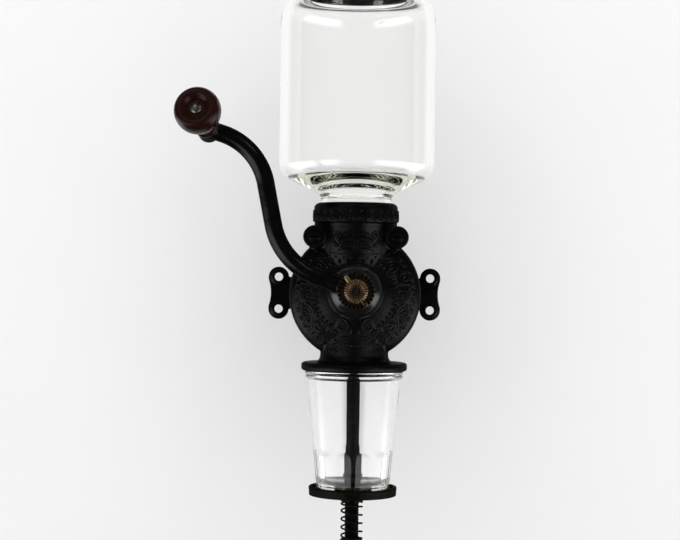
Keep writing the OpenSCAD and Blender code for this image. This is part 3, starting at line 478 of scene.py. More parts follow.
def japanned_iron():
    """Black japan on cast iron: a sandy skin, a glossy bell, and brown-grey wear on the edges."""
    material, tree, shader = node_material("japanned_iron")
    cloud = object_noise(tree, 90)
    base = graded(tree, cloud, (0.3, (0.011, 0.011, 0.0115)), (0.7, (0.02, 0.0195, 0.019)))
    worn = blended(tree, worn_edges(tree, 0.54, 0.62), base, (0.065, 0.056, 0.045))
    hub = near_hub(tree)
    rough = add_node(tree, "ShaderNodeMix", {0: hub, 2: spread(tree, cloud, 0.28, 0.42), 3: 0.22})
    dark_metal(tree, shader, blended(tree, hub, worn, (0.05, 0.05, 0.052)), rough.outputs[0])
    bumped(tree, shader, object_noise(tree, 420, 5), spread(tree, hub, 0.4, 0.02, 0, 1), 0.0004)
    return material


def worn_iron(name, cloud_scale, stops, edges, edge_tone, rough, grain):
    """Dark iron with a clouded skin that is worn through on its edges.

    The grain is the scale and detail of a noise, and the strength and height of its bumps.
    """
    material, tree, shader = node_material(name)
    cloud = object_noise(tree, *cloud_scale)
    base = blended(tree, worn_edges(tree, *edges), graded(tree, cloud, *stops), edge_tone)
    dark_metal(tree, shader, base, spread(tree, cloud, *rough))
    bumped(tree, shader, object_noise(tree, *grain[:2]), *grain[2:])
    return material


def worn_brass(name, dark, light, edge_tone):
    """Handled brass: bright on the edges and brown in the hollows."""
    material, tree, shader = node_material(name)
    cloud = object_noise(tree, 500)
    base = graded(tree, cloud, (0.3, dark), (0.65, light))
    feed(tree, shader, {"Base Color": blended(tree, worn_edges(tree, 0.49, 0.56), base, edge_tone), "Metallic": 0.75,
                        "Roughness": spread(tree, cloud, 0.22, 0.45)})
    bumped(tree, shader, object_noise(tree, 2500, 2), 0.25, 0.0001)
    return material


def knob_wood():
    """Dark varnished wood, with fine grain along the knob's axis."""
    material, tree, shader = node_material("knob_wood")
    grain = object_noise(tree, 900, 5, (1, 0.12, 1))
    base = graded(tree, grain, (0.3, (0.0105, 0.0028, 0.0021)), (0.7, (0.018, 0.0047, 0.0035)))
    feed(tree, shader, {"Base Color": base, "Roughness": spread(tree, grain, 0.2, 0.32), "Specular IOR Level": 0.1})
    bumped(tree, shader, grain, 0.06, 0.0001)
    return material


def bare_metal(name, dark, light, rough, scale=350):
    """Steel or tin with a clouded tarnish."""
    material, tree, shader = node_material(name)
    cloud = object_noise(tree, scale)
    feed(tree, shader, {"Base Color": graded(tree, cloud, (0.3, dark), (0.7, light)), "Metallic": 1.0,
                        "Roughness": spread(tree, cloud, *rough)})
    bumped(tree, shader, object_noise(tree, 1800, 2), 0.15, 0.0001)
    return material


def rusty_steel():
    """Bolt heads: black, with red rust that is heavier on the left one."""
    material, tree, shader = node_material("rusty_steel")
    cloud = object_noise(tree, 600)
    rust = worked(tree, "ADD", cloud, spread(tree, axes(tree)["X"], 0.16, -0.25, -0.01, 0.01))
    base = graded(tree, rust, (0.45, (0.009, 0.0085, 0.0085)), (0.8, (0.016, 0.009, 0.0072)),
                  (0.98, (0.03, 0.0125, 0.009)))
    dark_metal(tree, shader, base, spread(tree, cloud, 0.4, 0.65))
    bumped(tree, shader, object_noise(tree, 1500, 4), 0.4, 0.0002)
    return material


def clear_glass(name, ripple):
    """Old pressed glass: clear, a little green in its thickness, with a slow ripple of a given strength."""
    material, tree, shader = node_material(name)
    feed(tree, shader, {"Base Color": (1, 1, 1), "Transmission Weight": 1.0, "Roughness": 0.0, "IOR": 1.5})
    bumped(tree, shader, object_noise(tree, 45, 1), ripple, 0.0012)
    soak = add_node(tree, "ShaderNodeVolumeAbsorption", {"Color": (0.84, 0.86, 0.76), "Density": 22.0})
    feed(tree, tree.nodes["Material Output"], {"Volume": soak.outputs["Volume"]})
    return material


IRON = japanned_iron()
# Japan rubbed to a gloss by use, with small dents and worn spots
CRANK_JAPAN = worn_iron(
    "handled_japan", (130, 5),
    [(0.3, (0.012, 0.012, 0.0125)), (0.62, (0.019, 0.0185, 0.018)), (0.8, (0.04, 0.036, 0.031))],
    (0.55, 0.64), (0.06, 0.052, 0.042), (0.13, 0.24), (260, 4, 0.25, 0.0004))
BRASS = worn_brass("worn_brass", (0.014, 0.0075, 0.003), (0.05, 0.028, 0.011), (0.42, 0.29, 0.14))
OLIVE_BRASS = worn_brass("tarnished_brass", (0.006, 0.0045, 0.003), (0.014, 0.0105, 0.006), (0.045, 0.034, 0.017))
WOOD = knob_wood()
BRIGHT = bare_metal("bright_steel", (0.13, 0.11, 0.085), (0.34, 0.3, 0.25), (0.25, 0.45))
BURR = bare_metal("burr_steel", (0.14, 0.13, 0.125), (0.33, 0.33, 0.33), (0.35, 0.55))
TIN = bare_metal("tinned_steel", (0.09, 0.09, 0.085), (0.22, 0.22, 0.21), (0.4, 0.6), 60)
# Oxidised iron: brown-black, matt and pitted, with rust in patches
BROWN = worn_iron(
    "brown_iron", (120, 6),
    [(0.35, (0.008, 0.0077, 0.0065)), (0.6, (0.013, 0.011, 0.0083)), (0.8, (0.026, 0.0165, 0.0105))],
    (0.53, 0.6), (0.05, 0.041, 0.03), (0.4, 0.65), (900, 5, 0.4, 0.0002))
RUSTY = rusty_steel()
JAR_GLASS = clear_glass("jar_glass", 0.0)
CUP_GLASS = clear_glass("cup_glass", 0.12)


# Castings


def drum_face_line(count):
    """Places on the drum's domed front from the bell out to its edge, as (radius, depth), with their normals."""
    drum_r, front, dome, edge = 48.1, 84.0, 85.0, 9.0
    centre = front - dome
    turn_r = drum_r - edge
    turn_depth = centre + math.sqrt((dome - edge) ** 2 - turn_r ** 2)
    lean = math.degrees(math.atan2(turn_depth - centre, turn_r))
    face = arc((0, centre), dome, 76, lean, count)
    rim = arc((turn_r, turn_depth), edge, lean, 14, count // 3)[1:]
    line = resample(np.concatenate([face, rim]), 0.4)
    step = directions(line)
    return line, np.stack([-step[:, 1], step[:, 0]], 1)


def vine_heights(spots):
    """A scrolling vine round a ring: a wave of stem, with a spiral and leaves in each of its hollows.

    Spots are (angle from the foot of the ring, distance from its centre) in degrees and millimetres, and
    the pattern is drawn on the ring unrolled at its mean radius. It dies away under the throat and at the outlet.
    """
    mean_r, waves, swing, half_w = 36.5, 4.5, 3.6, 10.5
    flat = np.stack([np.radians(spots[:, 0]) * mean_r, spots[:, 1] - mean_r], 1)
    length = math.pi * mean_r
    run = np.linspace(0, length, 400)
    marks = [ridge(flat, np.stack([run, swing * np.sin(run / length * TURN * waves)], 1), 1.3, 1.3)]
    for k in range(int(2 * waves)):
        middle = (k + 0.5) * length / (2 * waves)
        side = 1 if k % 2 == 0 else -1
        curl = spiral((0, 0), 5.2, 1.0, 200, 200 - 560)
        curl = np.stack([middle + curl[:, 0], -side * (2.6 - curl[:, 1])], 1)
        marks += [ridge(flat, curl, np.linspace(1.35, 0.95, len(curl)), 1.35), ridge(flat, curl[-1:], 1.8, 1.5)]
        for reach, lean in ((5.6, 2.4), (4.8, -3.0), (6.4, 0.0), (3.4, 5.2), (3.2, -5.6)):
            root, tip = (middle + 0.8 * lean, side * 3.0), (middle + 1.7 * lean, side * (3.2 + reach))
            marks.append(leaf(flat, root, tip, 2.0, 1.35, 0.6 * side))
        for off, lean in ((-6.4, -2.4), (-2.4, -1.0), (2.2, 0.8), (6.2, 2.2)):
            root, tip = (middle + off, -side * 6.2), (middle + off + lean, -side * 10.2)
            marks.append(leaf(flat, root, tip, 1.7, 1.25, 0.5 * side))
    total = np.max(marks, 0)
    ground = 0.7 * np.clip(np.sin(1.7 * flat[:, 0]) * np.sin(1.9 * flat[:, 1] + 0.4 * flat[:, 0]), 0, None)
    fade = np.clip((spots[:, 0] - 20) / 8, 0, 1) * np.clip((150 - spots[:, 0]) / 14, 0, 1)
    rim = np.clip((half_w - np.abs(flat[:, 1])) / 1.5, 0, 1)
    return (total + ground * (total < 0.2)) * fade * rim


def drum_relief():
    """Cast vine scrolls on the drum's front: the front's own line turned about the drum, raised by the vine."""
    turns, sunk, thickness, back_rows = 640, 0.3, 1.2, 12
    line, normal = drum_face_line(60)
    angle = np.linspace(0, 360, turns, endpoint=False)
    from_foot = np.abs((angle - 270 + 180) % 360 - 180)
    along = lengths(line) + line[0, 0]
    spots = np.stack([np.tile(from_foot, len(line)), np.repeat(along, turns)], 1)
    height = (vine_heights(spots) - sunk).reshape(len(line), turns)
    top = line[:, None] + height[..., None] * normal[:, None]
    back = (line - thickness * normal)[np.linspace(len(line) - 1, 0, back_rows).astype(int)]
    ring = np.concatenate([top, np.repeat(back[:, None], turns, 1)])
    turn = np.radians(angle)[None, :]
    radius, depth = ring[..., 0] * MM, ring[..., 1] * MM
    grid = np.stack([radius * np.cos(turn), -depth, radius * np.sin(turn)], -1)
    return surface(grid, wrap_rows=True)


def front_patch(radius, width_deg, bottom, top, lean, pivot_z, heights):
    """A relief on the front of an upright cylinder about the jar's axis, leaning back from a pivot height.

    The pattern's places are (distance round the front, height) in millimetres.
    """
    step, sunk, thickness = 0.4, 0.35, 1.5
    half = math.radians(width_deg)
    across = np.linspace(-half, half, int(2 * half * radius / step))
    up = np.linspace(bottom, top, int((top - bottom) / step))
    angle, level = np.meshgrid(across, up, indexing="xy")
    spots = np.stack([angle * radius, level], -1).reshape(-1, 2)
    raised = heights(spots).reshape(angle.shape) - sunk
    lean = math.radians(lean)

    def placed(height):
        reach = radius + height
        x, y, z = reach * np.sin(angle), -reach * np.cos(angle), level - pivot_z
        back = y * math.cos(lean) - z * math.sin(lean)
        rise = y * math.sin(lean) + z * math.cos(lean)
        return AXIS + np.stack([x, back, rise + pivot_z], -1) * MM

    return slab(placed(raised), placed(np.full_like(raised, -thickness)))


def throat_heights(spots):
    """Two clusters of curling leaves side by side on the throat, over a framed band of lozenges and beads."""
    half = mirrored(spots)
    foot, frame_x, frame_low, frame_high = 34.6, 20.4, -12.4, 16
    marks = [leaf(half, (x0, foot + z0), (x1, foot + z1), width, 1.8, rise) for x0, z0, x1, z1, width, rise in (
        (1.8, 13.5, 11.5, 10.5, 2.3, 1.6), (1.8, 9.5, 14.0, 5.0, 2.5, 2.0),
        (1.8, 4.6, 13.5, 0.8, 2.4, 1.8), (13.2, 4.5, 18.4, 11.5, 2.0, -1.4))]
    marks.append(ridge(half, spiral((14.6, foot + 12.2), 3.4, 0.7, 250, -250), 1.05, 1.5))
    for level in (foot - 1.0, foot + frame_low):
        marks.append(0.9 * np.clip(1 - ((spots[:, 1] - level) / 0.8) ** 2, 0, None))
    pitch = 6.0
    along = np.abs((spots[:, 0] + pitch / 2) % pitch - pitch / 2)
    up = np.abs(spots[:, 1] - (foot - 6.7))
    marks.append(1.5 * np.clip(1 - along / 2.1 - up / 3.8, 0, None))
    beads = np.hypot(along - pitch / 2, up - 3.2)
    marks.append(1.3 * np.clip(1 - (beads / 1.2) ** 2, 0, None))
    sides = np.stack([np.full(60, frame_x), np.linspace(foot + frame_low, foot + frame_high, 60)], 1)
    marks.append(ridge(half, sides, 0.8, 0.9))
    return np.max(marks, 0) * (np.abs(spots[:, 0]) < frame_x + 0.8)


def collar_heights(spots):
    """A row of small upright leaves round the collar, with a bead between each two."""
    pitch, foot = 7.4, 53.6
    along = (spots[:, 0] + pitch / 2) % pitch - pitch / 2
    half = mirrored(np.stack([along, spots[:, 1]], 1))
    return np.max([leaf(half, (0, foot), (0, foot + 8.6), 2.1, 1.5),
                   leaf(half, (0.8, foot), (2.9, foot + 5.0), 1.1, 1.3, -0.5),
                   ridge(half, np.array([[pitch / 2, foot + 7.0]]), 1.1, 1.2)], 0)


def tongue_heights(spots):
    """Two facing scrolls over a row of beads on the outlet, with a leaf at each corner."""
    half = mirrored(spots)
    marks = []
    for centre, start, size, turn in (((9.5, -22.0), 60, 5.2, 560), ((17.0, -29.5), 160, 4.0, -540)):
        curl = spiral(centre, size, 0.8, start, start + turn)
        marks += [ridge(half, curl, np.linspace(1.25, 0.8, len(curl)), 1.5), ridge(half, curl[-1:], 1.7, 1.6)]
    for root, tip, width, height, rise in (
            ((4, -31), (12.5, -33.5), 1.9, 1.3, 1.0), ((13, -34), (22, -37), 2.2, 1.3, 1.6),
            ((5, -29), (3.5, -20.5), 1.6, 1.3, 1.0), ((20, -33), (24, -25), 2.0, 1.3, -1.4),
            ((16, -43), (23, -39.5), 1.8, 1.2, 0.8), ((14.5, -42), (18.5, -38.2), 1.8, 1.2, 0.8)):
        marks.append(leaf(half, root, tip, width, height, rise))
    across = np.linspace(0, 13.5, 6)
    marks.append(ridge(half, np.stack([across, -36.3 + 0.012 * across ** 2], 1), 1.25, 1.2))
    return np.max(marks, 0)


def castings():
    """The rounded skins of the three castings, the body's with a clear bore, and the relief on the body."""
    body = cast_copy("body_casting_skin", "body_casting", 1.05 * MM, 7)
    bored(body, SHAFT_BORE_R)
    finish_piece(body, IRON, "mill", "japanned_iron", ["body_casting"], 60)
    back = cast_copy("rear_casting_skin", "rear_casting", 0.8 * MM, 6)
    finish_piece(back, IRON, "mill", "japanned_iron", ["rear_casting"], 60)
    for name, shape in (("drum_relief", drum_relief()),
                        ("collar_relief", front_patch(30.7, 84, 53.0, 63.0, 0, 0, collar_heights)),
                        ("throat_relief", front_patch(29.1, 52, 20.5, 52.0, 9, 52.5, throat_heights)),
                        ("outlet_relief", front_patch(25.0, 68, -45.0, -14.0, 0, 0, tongue_heights))):
        add_piece(name, shape, IRON, "mill", "japanned_iron", sharp=80)
    plate = cast_copy("cup_plate_skin", "cup_plate", 0.6 * MM, 6)
    finish_piece(plate, BROWN, "cup_rest", "brown_iron", ["cup_plate"], 60)


def cover_bolts():
    """Two round-head bolts: a domed head with a slot, on a plain shank."""
    middle, size = middle_and_size("cover_bolts")
    tail, front = depths("cover_bolts")
    head_r, head_h, shank_r, slot_w = 4.8, 3.6, 3.0, 1.3
    lug_x = size[0] / 2 - head_r * MM
    seat = front - head_h
    dome = arc((0, seat + 0.6), (head_r, head_h - 0.6), 0, 90, 30)
    line = soften(outline((0, tail), (shank_r, tail), (shank_r, seat), (head_r, seat), dome), 0.25, 3)
    shapes = []
    for side in (-1, 1):
        grid = lathe(line, 96, np.array([side * lug_x, 0, middle[2]]), FRONT)
        slot_share = np.clip(1.2 - np.abs(grid[..., 2] - middle[2]) / (slot_w / 2 * MM), 0, 1)
        on_head = -grid[..., 1] > (seat + 1.3) * MM
        slot_floor = -(seat + 1.9) * MM
        grid[..., 1] += np.where(on_head, slot_share * np.clip(slot_floor - grid[..., 1], 0, None), 0)
        shapes.append(surface(grid))
    add_piece("cover_bolt_pair", together(*shapes), RUSTY, "mill", "rusty_steel", ["cover_bolts"])


# Crank

BOSS_HALF = 5.0


def crank():
    """The S-shaped arm: two bends joined by straight runs, fused with its eye and its knob boss."""
    arm_r, root_swell, swell_share, sides = 6.2, 0.9, 0.09, 40
    eye_r, eye_gap, boss_r = 13.2, 0.3, 8.2
    heading = np.radians(np.concatenate([np.full(29, 160.0), np.linspace(160, 101, 50), np.full(28, 101.0),
                                         np.linspace(101, 162, 49), np.full(10, 162.0)]))
    run = np.concatenate([[[0, 0]], np.cumsum(np.stack([np.cos(heading), np.sin(heading)], 1), 0)])
    run *= math.hypot(KNOB_ROOT[0], KNOB_ROOT[2] - SHAFT_Z) / np.linalg.norm(run[-1])
    path = np.stack([run[:, 0], np.full(len(run), KNOB_ROOT[1]), run[:, 1] + SHAFT_Z], 1)
    share = np.linspace(0, 1, len(path))
    radius = MM * (arm_r + root_swell * np.exp(-((share / swell_share) ** 2)))
    arm = tube(path, radius, np.cross(FRONT, directions(path)), sides)
    back, front = depths("body_casting")[1] + eye_gap, depths("crank_arm")[1]
    line = outline((0, back), (eye_r, back), (eye_r, front - 1.2), (eye_r - 1, front), (0, front))
    eye = lathe(line, 72, SHAFT, FRONT)
    line = outline((0, -BOSS_HALF), (boss_r, -BOSS_HALF), (boss_r, BOSS_HALF), (0, BOSS_HALF))
    boss = lathe(line, 64, KNOB_ROOT, KNOB_AXIS)
    shape = together(surface(arm), surface(eye), surface(boss))
    piece = even_skin(put_in_scene("crank_arm_skin", new_mesh("crank_arm_skin", shape)), 0.55 * MM, 8)
    finish_piece(piece, CRANK_JAPAN, "crank", "japanned_iron", ["crank_arm"], 60)


def about_shaft(grid):
    """Each point's angle round the shaft, and its distance from the shaft's axis in millimetres."""
    across, up = grid[..., 0], grid[..., 2] - SHAFT_Z
    return np.arctan2(up, across), np.hypot(up, across) / MM


def adjuster():
    """The notched index ring and the winged nut: turned profiles with notches all round."""
    notches, bore_r, ring_r, nut_r = 26, 3.27, 12.9, 8.2
    back, front = depths("index_ring")
    ring = outline((3.4, back), (ring_r, back), (ring_r, front - 0.5), (ring_r - 0.5, front), (8.6, front),
                   (3.4, front))
    notched = lathe(soften(ring, 0.2, 2, closed=True), 480, SHAFT, FRONT)
    angle, radius = about_shaft(notched)
    notch = np.clip(0.5 + 2.2 * np.cos(notches * angle), 0, 1) * np.clip((radius - 9.4) / 0.5, 0, 1)
    notch_floor = -(back + 0.9) * MM
    notched[..., 1] += notch * np.clip(notch_floor - notched[..., 1], 0, None)
    add_piece("index_ring_notched", surface(notched, True), OLIVE_BRASS, "crank", "worn_brass", ["index_ring"])
    back, front = depths("adjusting_nut")
    crown = outline((bore_r, back), (nut_r, back), (nut_r, front - 2.0), (7.2, front - 0.4), (6.2, front),
                    (4.9, front - 0.4), (4.2, front - 2.2), (bore_r, front - 2.4))
    nut = lathe(soften(crown, 0.15, 2, closed=True), 480, SHAFT, FRONT)
    angle, radius = about_shaft(nut)
    flute = np.clip(0.5 + 1.2 * np.cos(notches * angle), 0, 1) * np.clip((radius - 4.4) / 0.5, 0, 1)
    near_front = np.clip((-nut[..., 1] / MM - (front - 2.6)) / 1.4, 0, 1)
    nut[..., 1] += 1.2 * MM * flute * near_front
    turn, root_at, tip_at, half_w, half_h, sides = math.radians(126), 6.2, 13.0, 1.6, 2.6, 24
    along = np.array([math.cos(turn), 0, math.sin(turn)])
    over = np.cross(FRONT, along)
    reach = np.linspace(root_at, tip_at, 18)[:, None]
    swell = np.sqrt(np.clip(1 - ((reach - root_at) / (tip_at - root_at)) ** 8, 0, 1))
    angle = np.linspace(0, TURN, sides, endpoint=False)
    wide = half_w * swell * np.sign(np.cos(angle)) * np.abs(np.cos(angle)) ** 0.6
    tall = half_h * swell * np.sign(np.sin(angle)) * np.abs(np.sin(angle)) ** 0.6
    wings = []
    for side in (-1, 1):
        centre = SHAFT + side * reach[..., None] * MM * along + FRONT * (back + 2.7) * MM
        wing = centre + MM * (wide[..., None] * over + tall[..., None] * FRONT)
        wings.append(surface(np.concatenate([np.repeat(centre[:1], sides, 1), wing])))
    nut_shape = together(surface(nut, True), *wings)
    add_piece("adjusting_nut_winged", nut_shape, BRASS, "adjuster", "worn_brass", ["adjusting_nut"])


def knob():
    """The turned knob on its axis: base ring, narrow neck, widening body and broad dished front.

    With it come the pin that it turns on, and the washer under it.
    """
    base, length, recess, bore_r, pin_r, washer_r, washer_top = 6.5, 38.0, 4.0, 3.06, 3.0, 7.5, BOSS_HALF + 1.2
    u = np.linspace(0, 1, 24)
    belly = np.stack([7.6 + (16.0 - 7.6) * (1 - np.cos(np.pi * u)) / 2, base + 4 + 25.6 * u], 1)
    front = arc((12.0, base + 29.6), (4.0, 8.4), 4, 90, 20)
    top = base + length
    line = outline((bore_r, base), (8.4, base), arc((7.5, base + 1.5), 1.5, -60, 60, 8), belly, front, (9.9, top),
                   (9.2, top - 0.4), (7.3, top - 2.2), (6.5, top - 2.9), (6.5, top - recess), (bore_r, top - recess))
    bulb = lathe(soften(line, 0.3, 4, closed=True), 128, KNOB_ROOT, KNOB_AXIS)
    add_piece("crank_knob_turned", surface(bulb, True), WOOD, "knob", "knob_wood", ["crank_knob"])
    head = top - recess + 0.3
    line = outline((0, -6.3), (4.4, -6.3), (4.4, -BOSS_HALF), (pin_r, -BOSS_HALF), (pin_r, head), (4.2, head),
                   (4.2, head + 0.7), arc((0, head + 0.7), (4.2, 1.7), 0, 90, 12))
    pin = lathe(soften(line, 0.2, 2), 64, KNOB_ROOT, KNOB_AXIS)
    add_piece("knob_pin_turned", surface(pin), BRIGHT, "crank", "bright_steel", ["knob_pin"])
    line = outline((bore_r, BOSS_HALF), (washer_r, BOSS_HALF), (washer_r, washer_top), (bore_r, washer_top))
    washer = lathe(soften(line, 0.15, 2, True), 64, KNOB_ROOT, KNOB_AXIS)
    add_piece("knob_washer_turned", surface(washer, True), BRIGHT, "crank", "bright_steel", ["knob_washer"])


# Glass and lid

SHOULDER_W = 17.5


def jar():
    """The hopper jar: neck, sloping base, straight side, squared shoulder and mouth.

    The shoulder is a quarter of a superellipse. The inside follows the outside at the wall's thickness,
    with a flatter floor, so the glass is thickest round the neck.
    """
    foot, top = levels("hopper_jar")
    side_r = JAR_R / MM
    neck_r, neck_h, slope, floor_slope, corner_r = 25.9, 26.5, 27.0, 18.0, 13.0
    shoulder_h, shoulder_power, mouth_h, wall = 27.5, 3.2, 15.0, 4.0
    shoulder_z = top - mouth_h - shoulder_h
    mouth_r = side_r - SHOULDER_W
    rise, lean = math.tan(math.radians(slope)), math.cos(math.radians(slope))
    corner = (side_r - corner_r, foot + neck_h + rise * (side_r - corner_r - neck_r) + corner_r / lean)

    def shoulder(mouth, height):
        share = arc((0, 0), 1, 0, 90, 40) ** (2 / shoulder_power)
        return np.array([mouth, shoulder_z]) + share * np.array([SHOULDER_W, height])

    def height_at(radius, inset, tilt):
        tilt = math.radians(tilt)
        return corner[1] - (corner_r - inset) / math.cos(tilt) + math.tan(tilt) * (radius - corner[0])

    def side(inset, tilt, bend_r):
        radius = neck_r - inset
        bend = (radius + bend_r, height_at(radius + bend_r, inset, tilt) - bend_r / math.cos(math.radians(tilt)))
        return outline((radius, foot), arc(bend, bend_r, 180, 90 + tilt, 16),
                       arc(corner, corner_r - inset, tilt - 90, 0, 30),
                       shoulder(mouth_r - inset, shoulder_h - 0.4 * inset), (mouth_r - inset, top))

    line = np.concatenate([side(0, slope, 3.5), side(wall, floor_slope, 6.0)[::-1]])
    line = soften(line, 1.2, 2, closed=True)
    add_piece("hopper_jar_glass", surface(lathe(line, 192), True), JAR_GLASS, "jar", "clear_glass", ["hopper_jar"], 60)


def lid():
    """The pressed lid: raised centre, rounded shoulder, skirt with a thread roll, and a rolled edge."""
    bottom, top = levels("jar_lid")
    inner, sheet = JAR_R / MM - SHOULDER_W + 1.2, 1.0
    outer = inner + sheet
    crown = top - 2.5
    outside = outline((0, top), (inner - 10, top), (inner - 8, crown), arc((inner - 1.2, crown - 2.2), 2.2, 90, 0, 10),
                      (outer, crown - 4.6), (outer + 0.5, crown - 6.6), (outer, crown - 8.6), (outer, bottom + 2.6),
                      arc((outer, bottom + 1.4), 1.4, 60, -90, 10))
    inside = outline((inner, bottom + 0.6), arc((inner - 1.2, crown - 2.2), 1.2, 0, 90, 10),
                     (inner - 8.4, crown - sheet), (inner - 10.4, top - sheet), (0, top - sheet))
    line = soften(np.concatenate([outside, inside])[::-1], 0.4, 3)
    add_piece("jar_lid_pressed", surface(lathe(line, 192)), TIN, "lid", "tinned_steel", ["jar_lid"], 60)


def cup():
    """The catch cup: a beaded rim, a tapered wall and a thick base, with flat arched panels round the foot."""
    foot, rim = levels("catch_cup")
    top_r, foot_r, rim_r, wall, base, bead = 34.2, 26.8, 36.2, 3.2, 4.0, 2.75
    rim_low = rim - 2 * bead
    taper = (top_r - foot_r) / (rim_low - foot)
    floor_r = foot_r + taper * base - wall
    half_bead = bead / 2
    line = outline((0, foot + 0.8), (foot_r - 6, foot + 0.8), (foot_r - 4.5, foot),
                   arc((foot_r - 2.5, foot + 2.5), 2.5, -90, 0, 8), (top_r, rim_low),
                   arc((rim_r - half_bead - 0.3, rim_low + half_bead), half_bead, -80, 75, 12),
                   arc((rim_r - half_bead, rim - half_bead), half_bead, -75, 90, 12), (top_r - wall + 0.6, rim),
                   (top_r - wall, rim_low), arc((floor_r - 6, foot + base + 6), 6, 0, -90, 12), (0, foot + base))
    line = soften(line, 0.55, 1)
    panels, panel_h, spring_h = 12, 29.0, 23.0
    outer = (np.arange(len(line)) < np.argmax(line[:, 1]))[:, None, None]

    def ripple(angle, height):
        up = height / MM - foot
        cell = TURN / panels
        off = (angle + TURN / 4) % cell - cell / 2
        arch = np.sqrt(np.clip(1 - np.clip((up - spring_h) / (panel_h - spring_h), 0, 1) ** 2, 0, 1))
        half = 0.43 * cell * arch
        flat = np.where(np.abs(off) < half, np.cos(half) / np.cos(off), 1.0)
        return np.where(outer, flat, 1.0)

    grid = lathe(line, 240, ripple=ripple)
    add_piece("catch_cup_glass", surface(grid), CUP_GLASS, "cup_rest", "clear_glass", ["catch_cup"], 50)


# Cup rest


def rod():
    """The guide rod, with a screw thread on its lower end: the radius follows a triangle wave along the helix."""
    bottom, top = levels("guide_rod")
    radius, pitch, thread_h, thread_depth, sides = 5.5, 1.8, 46, 0.55, 64
    thread_top = bottom + thread_h
    height = np.concatenate([np.arange(bottom, thread_top, 0.12), np.linspace(thread_top, top, 60)])
    angle = np.linspace(0, TURN, sides, endpoint=False)
    phase = (height[:, None] / pitch - angle[None, :] / TURN) % 1
    tooth = np.abs(2 * phase - 1)
    reach = radius - thread_depth * np.clip((thread_top - height) / 2, 0, 1)[:, None] * tooth
    reach[:6] *= np.linspace(0.86, 1, 6)[:, None]
    ring = np.stack([reach * np.cos(angle), reach * np.sin(angle), np.broadcast_to(height[:, None], reach.shape)], -1)
    ends = [np.broadcast_to([0, 0, height[k]], (1, sides, 3)) for k in (0, -1)]
    grid = ROD + MM * np.concatenate([ends[0], ring, ends[1]])
    add_piece("guide_rod_threaded", surface(grid), BROWN, "mill", "brown_iron", ["guide_rod"])


def spring():
    """The coil spring: a round wire along a helix whose end turns lie flat."""
    low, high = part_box("cup_spring")
    wire, coil_r, curls, flat_turns, flat_share, sides = 0.7, 7.9, 4.0, 0.75, 0.06, 14
    bottom, top = low.z / MM + wire, high.z / MM - wire
    turns = curls + 2 * flat_turns
    at = np.linspace(0, turns, int(turns * 48))
    height = bottom + (top - bottom) * sum(
        share * np.clip((at - start) / span, 0, 1) for share, start, span in (
            (flat_share, 0, flat_turns), (1 - 2 * flat_share, flat_turns, curls),
            (flat_share, turns - flat_turns, flat_turns)))
    angle = math.pi - at * TURN
    out = np.stack([np.cos(angle), np.sin(angle), np.zeros_like(angle)], 1)
    grid = ROD + MM * tube(coil_r * out + height[:, None] * UP, wire, out, sides)
    piece = add_piece("cup_spring_coil", surface(grid), BROWN, "mill", "brown_iron", ["cup_spring"], sharp=80)
    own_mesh(piece)


def rod_nuts():
    """The washer under the spring and the grooved thumb nut, turned about the rod."""
    bore_r, washer_r, grip_r, neck_r, grooves = 5.56, 9.6, 11.5, 9.0, 16
    bottom, top = levels("spring_washer")
    line = outline((bore_r, bottom), (washer_r, bottom), (washer_r, top), (bore_r, top))
    washer = lathe(soften(line, 0.2, 2, True), 96, ROD)
    add_piece("spring_washer_turned", surface(washer, True), BROWN, "mill", "brown_iron", ["spring_washer"])
    bottom, top = levels("thumb_nut")
    line = outline((bore_r, bottom), (10.7, bottom), (grip_r, bottom + 0.8), (grip_r, top - 3.8), (10.7, top - 3),
                   (neck_r, top - 3), (neck_r, top - 0.6), (8.4, top), (bore_r, top))

    def grooved(angle, height):
        on_grip = np.clip((top - 2.4 - height / MM) / 0.4, 0, 1)
        return 1 - 0.055 * on_grip * np.clip(np.cos(grooves * angle), 0, 1) ** 0.7

    nut = lathe(soften(line, 0.2, 3, True), 256, ROD, ripple=grooved)
    off = nut[..., :2] - ROD[:2]
    nut[..., :2] = ROD[:2] + off * np.maximum(1, bore_r * MM / np.linalg.norm(off, axis=-1))[..., None]
    add_piece("thumb_nut_grooved", surface(nut, True), BROWN, "thumb", "brown_iron", ["thumb_nut"])


def hidden_works():
    """The solids inside the drum keep their shapes: bare steel, and brown iron where an end shows."""
    for node in ("fixed_burr", "burr_screws", "turning_burr", "feed_worm", "drive_pin", "main_shaft", "rod_pin"):
        solid = frame["nodes"][node]
        for place in solid.material_slots:
            place.material = BROWN if node in ("main_shaft", "rod_pin") else BURR
        solid.modifiers.new("weld", "WELD").merge_threshold = 1e-6


# Stage

FLOOR_Z = SOLID_BOX[0][2] - 0.2


